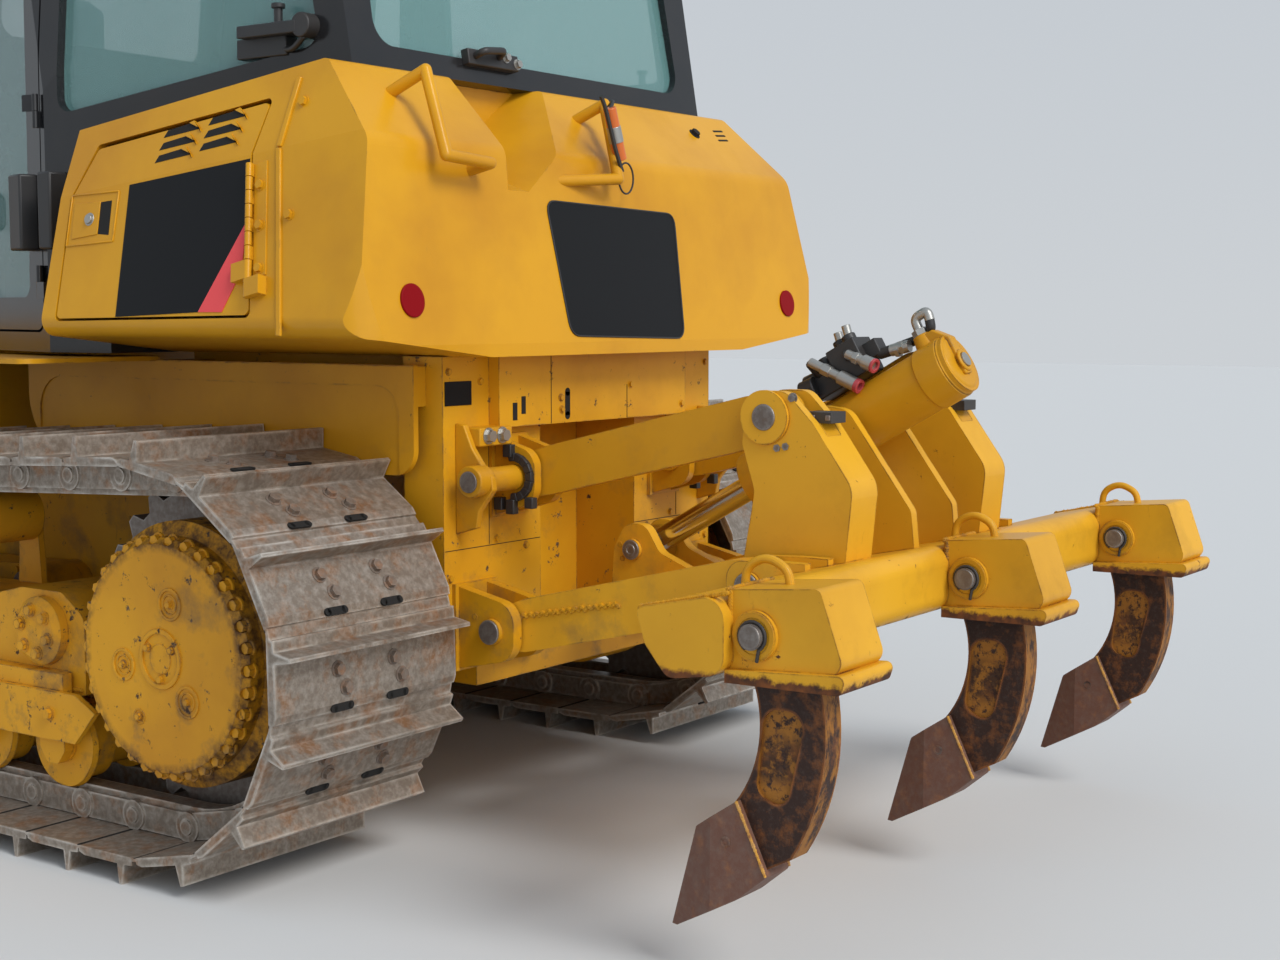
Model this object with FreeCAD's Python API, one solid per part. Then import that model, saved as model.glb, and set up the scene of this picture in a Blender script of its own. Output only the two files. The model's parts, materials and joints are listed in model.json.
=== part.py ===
"""Track-type bulldozer with a six-way blade and a three-shank rear ripper.

Millimetres. +Z is up, +Y is forward and +X is the machine's right side. The
pieces are drawn with the sprocket axle at y = 0 and the ground at z = 0, and
are set about the middle of the machine's length when they are written.
"""
import FreeCAD, Part
import math
import os

V = FreeCAD.Vector

# Gaps and fits
flat_gap = 0.3            # between curved or flat faces of pieces that seat on each other
pin_clearance = 0.08      # radial, pin or rod in its hole
side_gap = 6.0            # beside an eye in its fork
door_gap = 6.0            # round a door or cover in its opening

# Tracks
track_gauge = 1770.0
shoe_width = 560.0
shoe_count = 41
grouser_height = 46.0
shoe_plate = 12.0
link_rise = 41.0          # chain pin line to the shoe's inner face
link_drop = 45.0          # chain pin line to the rolling face
rail_inner = 62.0         # chain rails, from the track's middle plane
rail_outer = 110.0
sprocket_pitch_radius = 397.0
idler_pitch_radius = 345.0
wheelbase = 2595.0        # sprocket axle to idler axle
first_pin_y = 11.0        # rearmost chain pin that lies flat on the ground run

# Rolling pieces under the track frame
roller_radius = 95.0
roller_waist_radius = 74.0
roller_flange_radius = 110.0
roller_flange = 14.0
roller_shaft_radius = 32.0
roller_count = 7
roller_first_y = 432.0
roller_last_y = wheelbase - 363.0
carrier_radius = 74.0
carrier_places = (roller_first_y + 428.0, wheelbase - 855.0)

# Sprocket and final drive
sprocket_teeth = 27
sprocket_thickness = 52.0
sprocket_tip_radius = 404.0
sprocket_root_radius = 372.0
final_drive_face = 1083.0
final_drive_cover_radius = 268.0
final_drive_rim_radius = 300.0
final_drive_case_radius = 225.0
cover_bolts = 34
cover_pocket_radius = 15.0       # scallops round the cover's rim, one for each bolt
cover_pocket_depth = 24.0

# Track frame
track_frame_half = 128.0
track_frame_low = 352.0
track_frame_high = 560.0
track_frame_rear = 345.0
track_frame_front = wheelbase - 315.0
pivot_shaft_y = 486.0
pivot_shaft_z = 504.0
pivot_cap_radius = 82.0
hanger_plate = 26.0
track_guard_plate = 15.0
yoke_inner = 117.0        # idler yoke's plates
yoke_outer = 141.0
idler_hub_half = 96.0
idler_hub_radius = 60.0
idler_tread_rise = 16.0   # middle tread over the rails' treads
sprocket_slot_half = 38.0

# Main frame
frame_half = 400.0
frame_rail = 95.0
frame_front = 2700.0
ground_clearance = 362.0
belly_thickness = 16.0
case_front = 640.0
case_top = 1154.7          # under the rear body, by the flat gap
frame_rear = -330.0
rear_wall_half = 560.0
rear_wall_face = -370.0
rear_cover_face = -402.0
rear_cover_low = 985.0
recess_half = 200.0          # hollow in the rear wall for the ripper cylinder
recess_depth = 190.0

# Fenders
fender_half = 600.0
fender_plate = 12.0
fender_low = 880.0
fender_rim = 46.0         # raised border round the wall
step_half = 1000.0

# Rear body, the tank and side boxes behind and beside the cab
body_half_low = 965.0
body_half_crease = body_half_low - 97.0
body_half_top = body_half_low - 165.0
body_low = 1155.0
body_side_low = 1204.0
body_crease = 1628.0
body_top = 1811.0
body_face_low = -497.0
body_face_crease = -437.0
body_top_rear = -257.0
body_front = 545.0
body_fall = 0.145         # fall of the top towards the front
crease_fall = 0.115       # fall of the sides' crease towards the front
crease_rear = -300.0      # place where the crease has its full height
body_corner = 70.0
notch_foot = (-378.0, -450.0, 1536.0)    # lowest place of the recess behind the cab
notch_foot_half = 38.0
notch_rise = 0.35         # climb of its foot per y, towards the front
notch_left = 0.08         # lean of its left and right sides to the right, in x per z
notch_right = 1.44
handle_radius = 14.0
# feet and bends of the grab handles, from the upper foot to the lower
handle_bends = (
    ((-672.0, -308.0, 1736.0), (-655.0, -412.0, 1787.0), (-686.0, -497.0, 1596.0), (-537.0, -497.0, 1588.0),
     (-544.0, -432.0, 1572.0)),
    ((8.0, -314.0, 1732.0), (29.0, -400.0, 1775.0), (-46.0, -497.0, 1581.0), (-220.0, -430.0, 1569.0)),
)
service_depth = 260.0
service_leaf = 22.0
service_top_gap = 11.0

# Cab
cab_rear = -238.0
cab_rear_top = -60.0
cab_half_rear = 702.0
cab_half_post = 765.0
cab_half_front = 450.0
cab_half_top = 690.0
cab_post_y = 765.0
cab_front = 1490.0
cab_front_top = 1395.0
cab_floor = 1155.0
cab_roof_low = 2846.0
cab_roof_high = 2960.0
cab_wall = 52.0
glass_thickness = 7.0
sill_rear = 1808.3

# Hood, radiator guard and engine
hood_half = 400.0
hood_low = 770.0
hood_top_rear = 2010.0
hood_top_front = 1800.0
guard_half = 420.0
guard_rear = 2470.0
guard_front = 2700.0
guard_top = 1812.0
slat_count = 14
exhaust = (-190.0, cab_front + 360.0, 2420.0)     # middle and height of its mouth
exhaust_radius = 56.0
exhaust_wall = 6.0

# Ripper linkage
link_pin_lower = (-480.0, 525.0)        # y, z of the front pins
link_pin_upper = (-440.0, 870.0)
link_step = (-686.0, 163.0)             # front pin to rear pin, both links
link_pin_radius = 30.0
beam_half = 1000.0
pocket_spacing = 889.0
shank_thickness = 58.0
shank_pin = (-1461.0, 678.0)
dimple_depth = 7.0
tip_half = 44.0
ripper_trunnion = (-1120.0, 990.0)
ripper_rod_pin = (-562.0, 675.0)
tower_outer = 385.0
tower_inner = 296.0
tower_plate = 26.0
tower_back_plate = 22.0
tower_boss_radius = 58.0
gusset_inner = 84.0        # middle plates' inner faces, less the side gap
gusset_plate = 26.0
pocket_half = 78.0
pocket_collar = 14.0       # lip round the foot of a shank's pocket
pocket_boss_radius = 46.0

# Blade frame and blade
lift_pivot = (1150.0, 480.0)
push_arm_inner = 440.0
push_arm_outer = 560.0
push_arm_height = 150.0
cross_rear = 2785.0
cross_front = 2985.0
nose_pin_y = 3550.0
nose_half_rear = 235.0
nose_half = 110.0
nose_low = 385.0
nose_high = 560.0
nose_pin_radius = 45.0
carrier_front = 3900.0
tilt_axis_z = 500.0
blade_width = 3077.0
blade_top = 1195.0
blade_low = 22.0
blade_back = 3910.0
blade_edge_y = 4330.0

blade_foot_z = 130.0      # mouldboard's foot, where the cutting edge begins
mouldboard_plate = 16.0
lift_pin_radius = 38.0
tilt_pin_radius = 62.0

# Eyes on the ripper's links and cylinder: half widths, or from and to along x
lower_eye = (425.0, 485.0)
upper_eye = (303.0, 353.0)
rod_eye_half = 40.0
shank_pin_radius = 24.0

# Cylinders: places of their pins
lift_trunnion = (500.0, 2560.0, 1400.0)
lift_rod_pin = (500.0, 2900.0, 640.0)
angle_base_pin = (340.0, 2900.0, 620.0)
angle_rod_pin = (520.0, 3800.0, 620.0)
tilt_base_pin = (-330.0, 3850.0, 880.0)
tilt_rod_pin = (330.0, 3850.0, 930.0)

# Cylinders: distances along the cylinder are from its base pin
lift_cylinder = {
    "barrel_radius": 60.0, "barrel_start": -510.0, "barrel_end": 280.0, "bore_start": -485.0,
    "rod_radius": 28.0, "rod_length": 900.0, "rod_eye_radius": 48.0, "rod_eye_half": 30.0,
    "trunnion_half": 79.0, "trunnion_radius": 26.0,
}
angle_cylinder = {
    "barrel_radius": 48.0, "barrel_start": 66.0, "barrel_end": 600.0, "bore_start": 90.0,
    "rod_radius": 26.0, "rod_length": 620.0, "rod_eye_radius": 44.0, "rod_eye_half": 25.0,
    "eye_radius": 44.0, "eye_half": 25.0, "pin_radius": 20.0, "neck_radius": 23.0,
}
tilt_cylinder = {
    "barrel_radius": 52.0, "barrel_start": 66.0, "barrel_end": 430.0, "bore_start": 120.0,
    "rod_radius": 26.0, "rod_length": 420.0, "rod_eye_radius": 44.0, "rod_eye_half": 25.0,
    "eye_radius": 44.0, "eye_half": 25.0, "pin_radius": 20.0, "neck_radius": 23.0,
}
ripper_cylinder = {
    "barrel_radius": 70.0, "barrel_start": -315.0, "barrel_end": 283.0, "bore_start": -260.0,
    "rod_radius": 30.0, "rod_length": 540.0, "rod_eye_radius": 52.0, "rod_eye_half": rod_eye_half,
    "trunnion_half": 122.0, "trunnion_radius": 28.0,
}
collar_rise = 7.0         # collar at the rod's end of a barrel
collar_length = 46.0

# Door hinges: stand is from the pin's line to the panel, sink is into the panel
hinge = {
    "radius": 9.0, "pin_radius": 5.0, "stand": 11.0, "sink": 5.0,
    "knuckle": 42.0, "strap": 46.0, "edge": 14.0,
}
# upper and lower ends of each door's pin line, outward direction and knuckle places along it
door_hinges = {
    "cab_door_left": ((-772.0, 789.0, 1290.0), (-772.0, 789.0, 1826.0), (-0.96, 0.28, 0.0), (0.06, 0.8)),
    "engine_door_left": ((-411.0, 1563.0, 1040.0), (-411.0, 1563.0, 1600.0), (-1.0, 0.0, 0.0), (0.08, 0.8)),
    "service_door_left": ((8.2 - body_half_low, body_front - 704.0, body_side_low + 83.5),
                          (76.1 - body_half_low, body_front - 647.0, body_crease - 43.5), (-0.975, 0.0, -0.223),
                          (0.0, 0.35, 0.7)),
}


def track_ground():
    """Height of the chain's pin line over the ground."""
    return link_rise + shoe_plate + grouser_height


sprocket_z = track_ground() + sprocket_pitch_radius
idler_z = track_ground() + idler_pitch_radius
track_middle = track_gauge / 2


def on_side(y, z):
    return V(0, y, z)


def on_level(x, y):
    return V(x, y, 0)


def on_section(x, z):
    return V(x, 0, z)


def outline(rows, place):
    """Closed wire through rows of two places and, if round, a corner radius."""
    corners = [(place(row[0], row[1]), row[2] if len(row) > 2 else 0.0) for row in rows]
    trims = []
    for number, (corner, radius) in enumerate(corners):
        if not radius:
            trims.append((corner, None, corner))
            continue
        back = (corners[number - 1][0] - corner).normalize()
        ahead = (corners[(number + 1) % len(corners)][0] - corner).normalize()
        half = back.getAngle(ahead) / 2
        cut = radius / math.tan(half)
        inward = (back + ahead).normalize()
        middle = corner + inward * (radius / math.sin(half) - radius)
        trims.append((corner + back * cut, middle, corner + ahead * cut))
    edges = []
    for number, (start, middle, end) in enumerate(trims):
        if middle:
            edges.append(Part.Arc(start, middle, end).toShape())
        following = trims[(number + 1) % len(trims)][0]
        if (following - end).Length > 1e-6:
            edges.append(Part.makeLine(end, following))
    return Part.Wire(edges)


def side_plate(rows, x_low, x_high):
    """Outline in y and z, thick along x."""
    face = Part.Face(outline(rows, on_side))
    face.translate(V(x_low, 0, 0))
    return face.extrude(V(x_high - x_low, 0, 0))


def level_plate(rows, z_low, z_high):
    """Outline in x and y, thick along z."""
    face = Part.Face(outline(rows, on_level))
    face.translate(V(0, 0, z_low))
    return face.extrude(V(0, 0, z_high - z_low))


def cross_plate(rows, y_low, y_high, fall=0.0):
    """Outline in x and z, thick along y; fall is how much z drops per y."""
    face = Part.Face(outline(rows, on_section))
    face.translate(V(0, y_low, -fall * y_low))
    return face.extrude(V(0, y_high - y_low, -fall * (y_high - y_low)))


def block(x_low, x_high, y_low, y_high, z_low, z_high):
    return Part.makeBox(x_high - x_low, y_high - y_low, z_high - z_low, V(x_low, y_low, z_low))


def rod(start, end, radius):
    """Round bar from start to end."""
    way = end - start
    return Part.makeCylinder(radius, way.Length, start, way)


def pin_along_x(y, z, radius, x_low, x_high):
    return rod(V(x_low, y, z), V(x_high, y, z), radius)


def turned(rows, y, z, side=1):
    """Solid turned about an axle along x; rows of distance along x and radius."""
    places = [V(side * x, y, z + radius) for x, radius in rows]
    ends = [V(side * rows[-1][0], y, z), V(side * rows[0][0], y, z)]
    ring = Part.makePolygon(places + ends + places[:1])
    return Part.Face(ring).revolve(V(0, y, z), V(1, 0, 0), 360)


def joined(shapes):
    whole = shapes[0].multiFuse(shapes[1:]) if len(shapes) > 1 else shapes[0]
    return whole.removeSplitter()


def add(a, b):
    return (a[0] + b[0], a[1] + b[1])


link_pin_lower_rear = add(link_pin_lower, link_step)
link_pin_upper_rear = add(link_pin_upper, link_step)


def mirrored(shape):
    return shape.mirror(V(0, 0, 0), V(1, 0, 0))


def pair(shape):
    """The piece on the left side and its mirror image on the right."""
    return [shape, mirrored(shape)]


def both_sides(rows):
    """Half outline, from the middle plane out, closed by its mirror image."""
    left = [(-row[0],) + tuple(row[1:]) for row in reversed(rows) if row[0] > 0]
    return list(rows) + left


# Track chain and shoes
top_run_turn = (math.asin((sprocket_pitch_radius - idler_pitch_radius)
                          / math.hypot(wheelbase, sprocket_z - idler_z))
                + math.atan2(sprocket_z - idler_z, wheelbase))
rear_turn = math.pi + top_run_turn
top_run = math.sqrt(wheelbase ** 2 + (sprocket_z - idler_z) ** 2
                    - (sprocket_pitch_radius - idler_pitch_radius) ** 2)
wrap_rear = sprocket_pitch_radius * rear_turn
wrap_front = idler_pitch_radius * (2 * math.pi - rear_turn)
chain_length = wrap_rear + top_run + wrap_front + wheelbase


def outward(turn):
    """Direction away from the loop, turned from straight down over the rear."""
    return (-math.sin(turn), -math.cos(turn))


def chain_point(travel):
    """y and z of the pin line, from under the sprocket round the rear."""
    travel = travel % chain_length
    if travel < wrap_rear:
        way = outward(travel / sprocket_pitch_radius)
        return (way[0] * sprocket_pitch_radius, sprocket_z + way[1] * sprocket_pitch_radius)
    travel -= wrap_rear
    way = outward(rear_turn)
    if travel < top_run:
        start = (way[0] * sprocket_pitch_radius, sprocket_z + way[1] * sprocket_pitch_radius)
        return (start[0] - way[1] * -travel, start[1] - way[0] * travel)
    travel -= top_run
    if travel < wrap_front:
        way = outward(rear_turn + travel / idler_pitch_radius)
        return (wheelbase + way[0] * idler_pitch_radius, idler_z + way[1] * idler_pitch_radius)
    travel -= wrap_front
    return (wheelbase - travel, track_ground())


def loop_outline(offset):
    """Outline round both wheels, an offset out from the chain's pin line."""
    rear = sprocket_pitch_radius + offset
    front = idler_pitch_radius + offset
    top = outward(rear_turn)
    rear_top = V(0, top[0] * rear, sprocket_z + top[1] * rear)
    front_top = V(0, wheelbase + top[0] * front, idler_z + top[1] * front)
    rear_low = V(0, 0, sprocket_z - rear)
    front_low = V(0, wheelbase, idler_z - front)
    edges = [
        Part.Arc(rear_low, V(0, -rear, sprocket_z), rear_top).toShape(),
        Part.makeLine(rear_top, front_top),
        Part.Arc(front_top, V(0, wheelbase + front, idler_z), front_low).toShape(),
        Part.makeLine(front_low, rear_low),
    ]
    return Part.Wire(edges)


def ring_plate(outer, inner, x_low, x_high):
    """Plate between an outer and an inner wire in y and z."""
    band = Part.Face(outer).cut(Part.Face(inner)).Faces[0]
    band.translate(V(x_low, 0, 0))
    return band.extrude(V(x_high - x_low, 0, 0))


def loop_plate(outer, inner, x_low, x_high):
    """Band between two offsets from the pin line."""
    return ring_plate(loop_outline(outer), loop_outline(inner), x_low, x_high)


def shoe_rows():
    """Outer line of one shoe: distance along its link and height over the pin line."""
    link = chain_length / shoe_count
    plate = link_rise + shoe_plate
    tip = plate + grouser_height
    foot = link - 52.0
    return [
        (3.0, link_rise),
        (3.0, plate - 6.0),
        (20.0, plate),
        (foot, plate),
        (foot + 6.0, tip),
        (foot + 15.0, tip),
        (foot + 24.0, plate),
        (link - 3.0, plate - 2.0),
        (link - 3.0, link_rise),
    ]


def track_loop():
    """One closed chain with its shoes, about the plane x = 0."""
    link = chain_length / shoe_count
    band_inner = link_rise - 8.0
    outer = []
    inner = []
    for number in range(shoe_count):
        travel = number * link - first_pin_y
        here = chain_point(travel)
        there = chain_point(travel + link)
        length = math.hypot(there[0] - here[0], there[1] - here[1])
        along = ((there[0] - here[0]) / length, (there[1] - here[1]) / length)
        out = (-along[1], along[0])
        for run, rise in shoe_rows():
            run = run * length / link
            outer.append(V(0, here[0] + along[0] * run + out[0] * rise,
                           here[1] + along[1] * run + out[1] * rise))
        before = chain_point(travel - link)
        mean = (there[0] - before[0], there[1] - before[1])
        size = math.hypot(mean[0], mean[1])
        inner.append(V(0, here[0] - mean[1] / size * band_inner,
                       here[1] + mean[0] / size * band_inner))
    pieces = [ring_plate(Part.makePolygon(outer + outer[:1]), Part.makePolygon(inner + inner[:1]),
                         -shoe_width / 2, shoe_width / 2)]
    for x_low in (-rail_outer, rail_inner):
        rail_width = rail_outer - rail_inner
        pieces.append(loop_plate(link_rise - 5.0, -link_drop, x_low, x_low + rail_width))
    return joined(pieces)


def track_pieces():
    loop = track_loop()
    return {
        "track_left": loop.translated(V(-track_middle, 0, 0)),
        "track_right": loop.translated(V(track_middle, 0, 0)),
    }


# Sprockets and final drives
def sprocket():
    """Toothed wheel about the plane x = 0, bored for the final drive's hub."""
    rows = []
    step = 2 * math.pi / sprocket_teeth
    # share of a tooth's step and radius
    tooth = ((-0.34, sprocket_root_radius), (-0.12, sprocket_tip_radius),
             (0.12, sprocket_tip_radius), (0.34, sprocket_root_radius))
    for number in range(sprocket_teeth):
        for share, radius in tooth:
            turn = (number + share) * step
            rows.append((radius * math.sin(turn), sprocket_z - radius * math.cos(turn)))
    wheel = side_plate(rows, -sprocket_thickness / 2, sprocket_thickness / 2)
    return wheel.cut(pin_along_x(0, sprocket_z, final_drive_case_radius + flat_gap,
                                 -sprocket_thickness, sprocket_thickness))


def final_drive(side):
    """Case, hub and cover from the frame's side out to the cover's face."""
    face = final_drive_face
    hub = track_middle + sprocket_thickness / 2 + flat_gap
    rows = [
        (rear_wall_half + flat_gap, final_drive_case_radius - 30),
        (track_middle - 90, final_drive_case_radius - 30),
        (track_middle - 60, final_drive_case_radius),
        (hub, final_drive_case_radius),
        (hub, final_drive_rim_radius),
        (face - 70, final_drive_rim_radius),
        (face - 55, final_drive_cover_radius),
        (face - 14, final_drive_cover_radius),
        (face, final_drive_cover_radius - 14),
    ]
    case = turned(rows, 0, sprocket_z, side)
    pockets = []
    for number in range(cover_bolts):
        turn = 2 * math.pi * number / cover_bolts
        y = final_drive_cover_radius * math.cos(turn)
        z = sprocket_z + final_drive_cover_radius * math.sin(turn)
        start, end = sorted((side * (face - cover_pocket_depth), side * (face + 2.0)))
        pockets.append(pin_along_x(y, z, cover_pocket_radius, start, end))
    return case.cut(pockets)


def drive_pieces():
    wheel = sprocket()
    return {
        "sprockets": [wheel.translated(V(-track_middle, 0, 0)),
                      wheel.translated(V(track_middle, 0, 0))],
        "final_drive_left": final_drive(-1),
        "final_drive_right": final_drive(1),
    }


# Track frames, idlers and rollers
def roller_places():
    step = (roller_last_y - roller_first_y) / (roller_count - 1)
    return [roller_first_y + number * step for number in range(roller_count)]


def top_run_height(y):
    """Pin line height of the chain's top run at a place along the machine."""
    way = outward(rear_turn)
    start_y = way[0] * sprocket_pitch_radius
    start_z = sprocket_z + way[1] * sprocket_pitch_radius
    return start_z - (y - start_y) * way[0] / way[1]


def track_roller(y):
    """Roller with two treads and outer flanges, about the plane x = 0."""
    z = track_ground() + link_drop + roller_radius + flat_gap
    tread_end = rail_outer + 4.0
    half = [
        (0.0, roller_waist_radius),
        (rail_inner - 16.0, roller_waist_radius),
        (rail_inner - 10.0, roller_radius),
        (tread_end, roller_radius),
        (tread_end, roller_flange_radius),
        (tread_end + roller_flange, roller_flange_radius - 4.0),
        (tread_end + roller_flange, roller_shaft_radius + 14.0),
        (tread_end + roller_flange + 8.0, roller_shaft_radius + 14.0),
    ]
    rows = [(-x, radius) for x, radius in reversed(half[1:])] + half
    return turned(rows, y, z)


def roller_axle_z():
    return track_ground() + link_drop + roller_radius + flat_gap


def carrier_roller(y):
    z = top_run_height(y) - link_drop - carrier_radius - 2.0
    rows = [(-rail_outer, carrier_radius - 6), (-rail_inner, carrier_radius - 6),
            (rail_inner, carrier_radius - 6), (rail_outer, carrier_radius - 6)]
    return turned(rows, y, z)


def idler():
    """Front wheel with a raised middle tread between the chain's rails."""
    tread = idler_pitch_radius - link_drop - flat_gap
    half = [
        (0.0, tread + idler_tread_rise),
        (rail_inner - 12.0, tread + idler_tread_rise),
        (rail_inner - 6.0, tread),
        (rail_outer, tread),
        (rail_outer, tread - 34.0),
        (48.0, tread - 48.0),
        (42.0, 130.0),
        (idler_hub_half, 118.0),
        (idler_hub_half, idler_hub_radius),
    ]
    rows = [(-x, radius) for x, radius in reversed(half[1:])] + half
    return turned(rows, wheelbase, idler_z)


def ring(y, z, inner, outer, half):
    """Ring about an axle along x, about the plane x = 0."""
    return pin_along_x(y, z, outer, -half, half).cut(pin_along_x(y, z, inner, -half, half))


def track_frame():
    """Roller frame about the plane x = 0: box, roller hangers, idler yoke and pivot cap."""
    low = track_frame_low
    side = [
        (track_frame_rear, low + 10.0),
        (track_frame_rear, pivot_shaft_z + 40.0, 40.0),
        (pivot_shaft_y - 60.0, pivot_shaft_z + 95.0, 40.0),
        (pivot_shaft_y + 90.0, pivot_shaft_z + 95.0, 60.0),
        (pivot_shaft_y + 260.0, track_frame_high, 60.0),
        (track_frame_front - 60.0, track_frame_high - 24.0),
        (track_frame_front, track_frame_high - 80.0),
        (track_frame_front, low),
        (track_frame_rear + 40.0, low),
    ]
    pieces = [side_plate(side, -track_frame_half, track_frame_half)]
    hanger_inner = rail_outer + 4.0 + roller_flange + 8.0 + flat_gap
    z = roller_axle_z()
    for y in roller_places():
        plain = [(y - 46.0, low + 60.0), (y - 46.0, z - 10.0, 12.0), (y - 20.0, z - 44.0, 12.0),
                 (y + 20.0, z - 44.0, 12.0), (y + 46.0, z - 10.0, 12.0), (y + 46.0, low + 60.0)]
        for x_low in (-hanger_inner - hanger_plate, hanger_inner):
            pieces.append(side_plate(plain, x_low, x_low + hanger_plate))
    for x_low in (-hanger_inner - hanger_plate, track_frame_half - 2.0):
        shelf_width = hanger_inner + hanger_plate - track_frame_half + 2.0
        pieces.append(block(x_low, x_low + shelf_width, track_frame_rear + 60.0,
                            track_frame_front - 40.0, low, low + 60.0))
    yoke = [
        (track_frame_front - 200.0, idler_z - 70.0),
        (track_frame_front - 200.0, idler_z + 70.0),
        (wheelbase + 20.0, idler_z + 62.0, 40.0),
        (wheelbase + 82.0, idler_z, 60.0),
        (wheelbase + 20.0, idler_z - 62.0, 40.0),
    ]
    for x_low in (-yoke_outer, yoke_inner):
        pieces.append(side_plate(yoke, x_low, x_low + yoke_outer - yoke_inner))
    boss_width = yoke_outer - idler_hub_half - flat_gap
    for x_low in (-yoke_outer, yoke_outer - boss_width):
        pieces.append(pin_along_x(wheelbase, idler_z, idler_hub_radius, x_low, x_low + boss_width))
    for y in carrier_places:
        z = top_run_height(y) - link_drop - carrier_radius - 2.0
        stand_inner = rail_outer + flat_gap
        for x_low in (-track_frame_half, stand_inner):
            stand = [(y - 50.0, track_frame_high - 40.0), (y - 34.0, z + 10.0, 20.0),
                     (y, z + 40.0, 30.0), (y + 34.0, z + 10.0, 20.0), (y + 50.0, track_frame_high - 40.0)]
            pieces.append(side_plate(stand, x_low, x_low + track_frame_half - stand_inner))
    guard_inner = hanger_inner + hanger_plate - 2.0
    guard = [(pivot_shaft_y - 229.0, low - 16.0), (pivot_shaft_y - 158.0, low + 20.0),
             (track_frame_front - 60.0, low + 20.0), (track_frame_front - 120.0, low - 96.0),
             (pivot_shaft_y - 154.0, low - 96.0)]
    pieces.append(side_plate(guard, -guard_inner - track_guard_plate, -guard_inner))
    frame = joined(pieces)
    rim = ring(wheelbase, idler_z, idler_hub_radius + 20.0, idler_pitch_radius - link_drop + 34.0, yoke_inner)
    slot = pin_along_x(0.0, sprocket_z, sprocket_tip_radius + 12.0, -sprocket_slot_half, sprocket_slot_half)
    return frame.cut(rim).cut(slot)


def track_frame_pieces():
    frame = track_frame()
    cap_start = track_middle + track_frame_half
    left = frame.translated(V(-track_middle, 0, 0))
    cap = turned([(cap_start - 2.0, pivot_cap_radius), (cap_start + 22.0, pivot_cap_radius),
                  (cap_start + 34.0, pivot_cap_radius - 16.0)], pivot_shaft_y, pivot_shaft_z, -1)
    left = joined([left, cap])
    wheel = idler()
    rollers = [track_roller(y) for y in roller_places()]
    carriers = [carrier_roller(y) for y in carrier_places]
    sides = (-track_middle, track_middle)
    return {
        "track_frame_left": left,
        "track_frame_right": mirrored(left),
        "idlers": [wheel.translated(V(x, 0, 0)) for x in sides],
        "track_rollers": [piece.translated(V(x, 0, 0)) for x in sides for piece in rollers],
        "carrier_rollers": [piece.translated(V(x, 0, 0)) for x in sides for piece in carriers],
    }


# Main frame
def main_frame():
    """Case, rails, belly, rear wall and the shaft and bar that carry the track frames."""
    pieces = [
        block(-frame_half, frame_half, frame_rear, case_front, ground_clearance, case_top),
        block(-rear_wall_half, rear_wall_half, rear_wall_face, rear_wall_face + 120.0, 430.0, case_top),
        block(-frame_half + 5.0, frame_half - 5.0, rear_cover_face, frame_rear, rear_cover_low, case_top),
        block(-frame_half, frame_half, case_front - 1.0, frame_front, ground_clearance,
              ground_clearance + belly_thickness),
    ]
    for x_low in (-frame_half, frame_half - frame_rail):
        pieces.append(block(x_low, x_low + frame_rail, case_front - 1.0, frame_front,
                            ground_clearance, hood_low - flat_gap))
    inner_face = track_middle - track_frame_half - flat_gap
    pieces.append(pin_along_x(pivot_shaft_y, pivot_shaft_z, 62.0, -inner_face, inner_face))
    for side in (-1, 1):
        carrier = turned([(frame_half - 5.0, 235.0), (rear_wall_half, 235.0)], 0, sprocket_z, side)
        pieces.append(carrier)
    for side in (-1, 1):
        boss = pin_along_x(lift_pivot[0], lift_pivot[1], 75.0, side * (frame_half - 5.0),
                           side * (push_arm_inner - side_gap))
        pieces.append(boss)
        pieces.append(pin_along_x(lift_pivot[0], lift_pivot[1], 38.0, side * (push_arm_inner - side_gap - 1.0),
                                  side * push_arm_outer))
    recess = block(-recess_half, recess_half, rear_wall_face - 1.0, rear_wall_face + recess_depth, 420.0,
                   rear_cover_low)
    return joined(pieces).cut(recess)


def fenders():
    """Walls under the body's sides with the arch over the track, and the step plates."""
    outer = -fender_half
    inner = fender_plate - fender_half
    high = body_low - 22.0
    wall = [(-320.0, high + 2.0), (-320.0, fender_low, 60.0), (1070.0, fender_low, 160.0), (1070.0, high + 2.0)]
    pieces = [side_plate(wall, outer, inner)]
    rim = fender_rim
    arch = [(-320.0, high), (-320.0, fender_low, 60.0), (1070.0, fender_low, 160.0), (1070.0, high)]
    hollow = [(-320.0 + rim, high - rim, 70.0), (-320.0 + rim, fender_low - 50.0), (1070.0 - rim, fender_low - 50.0),
              (1070.0 - rim, high - rim, 90.0)]
    frame = side_plate(arch, outer - 4.0, outer + 1.0).cut(side_plate(hollow, outer - 10.0, outer + 10.0))
    pieces.append(frame)
    step = [(-step_half, body_front + 15.0, 30.0), (inner, body_front + 15.0), (inner, cab_front - 160.0),
            (-step_half, cab_front - 160.0, 60.0)]
    pieces.append(level_plate(step, high, high + fender_plate))
    pieces.append(block(inner - 2.0, -rear_wall_half - flat_gap, -320.0, -260.0, 1040.0, high))
    pieces.append(block(inner - 2.0, -frame_half - flat_gap, 560.0, 620.0, 1040.0, high))
    return pair(joined(pieces))


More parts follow.
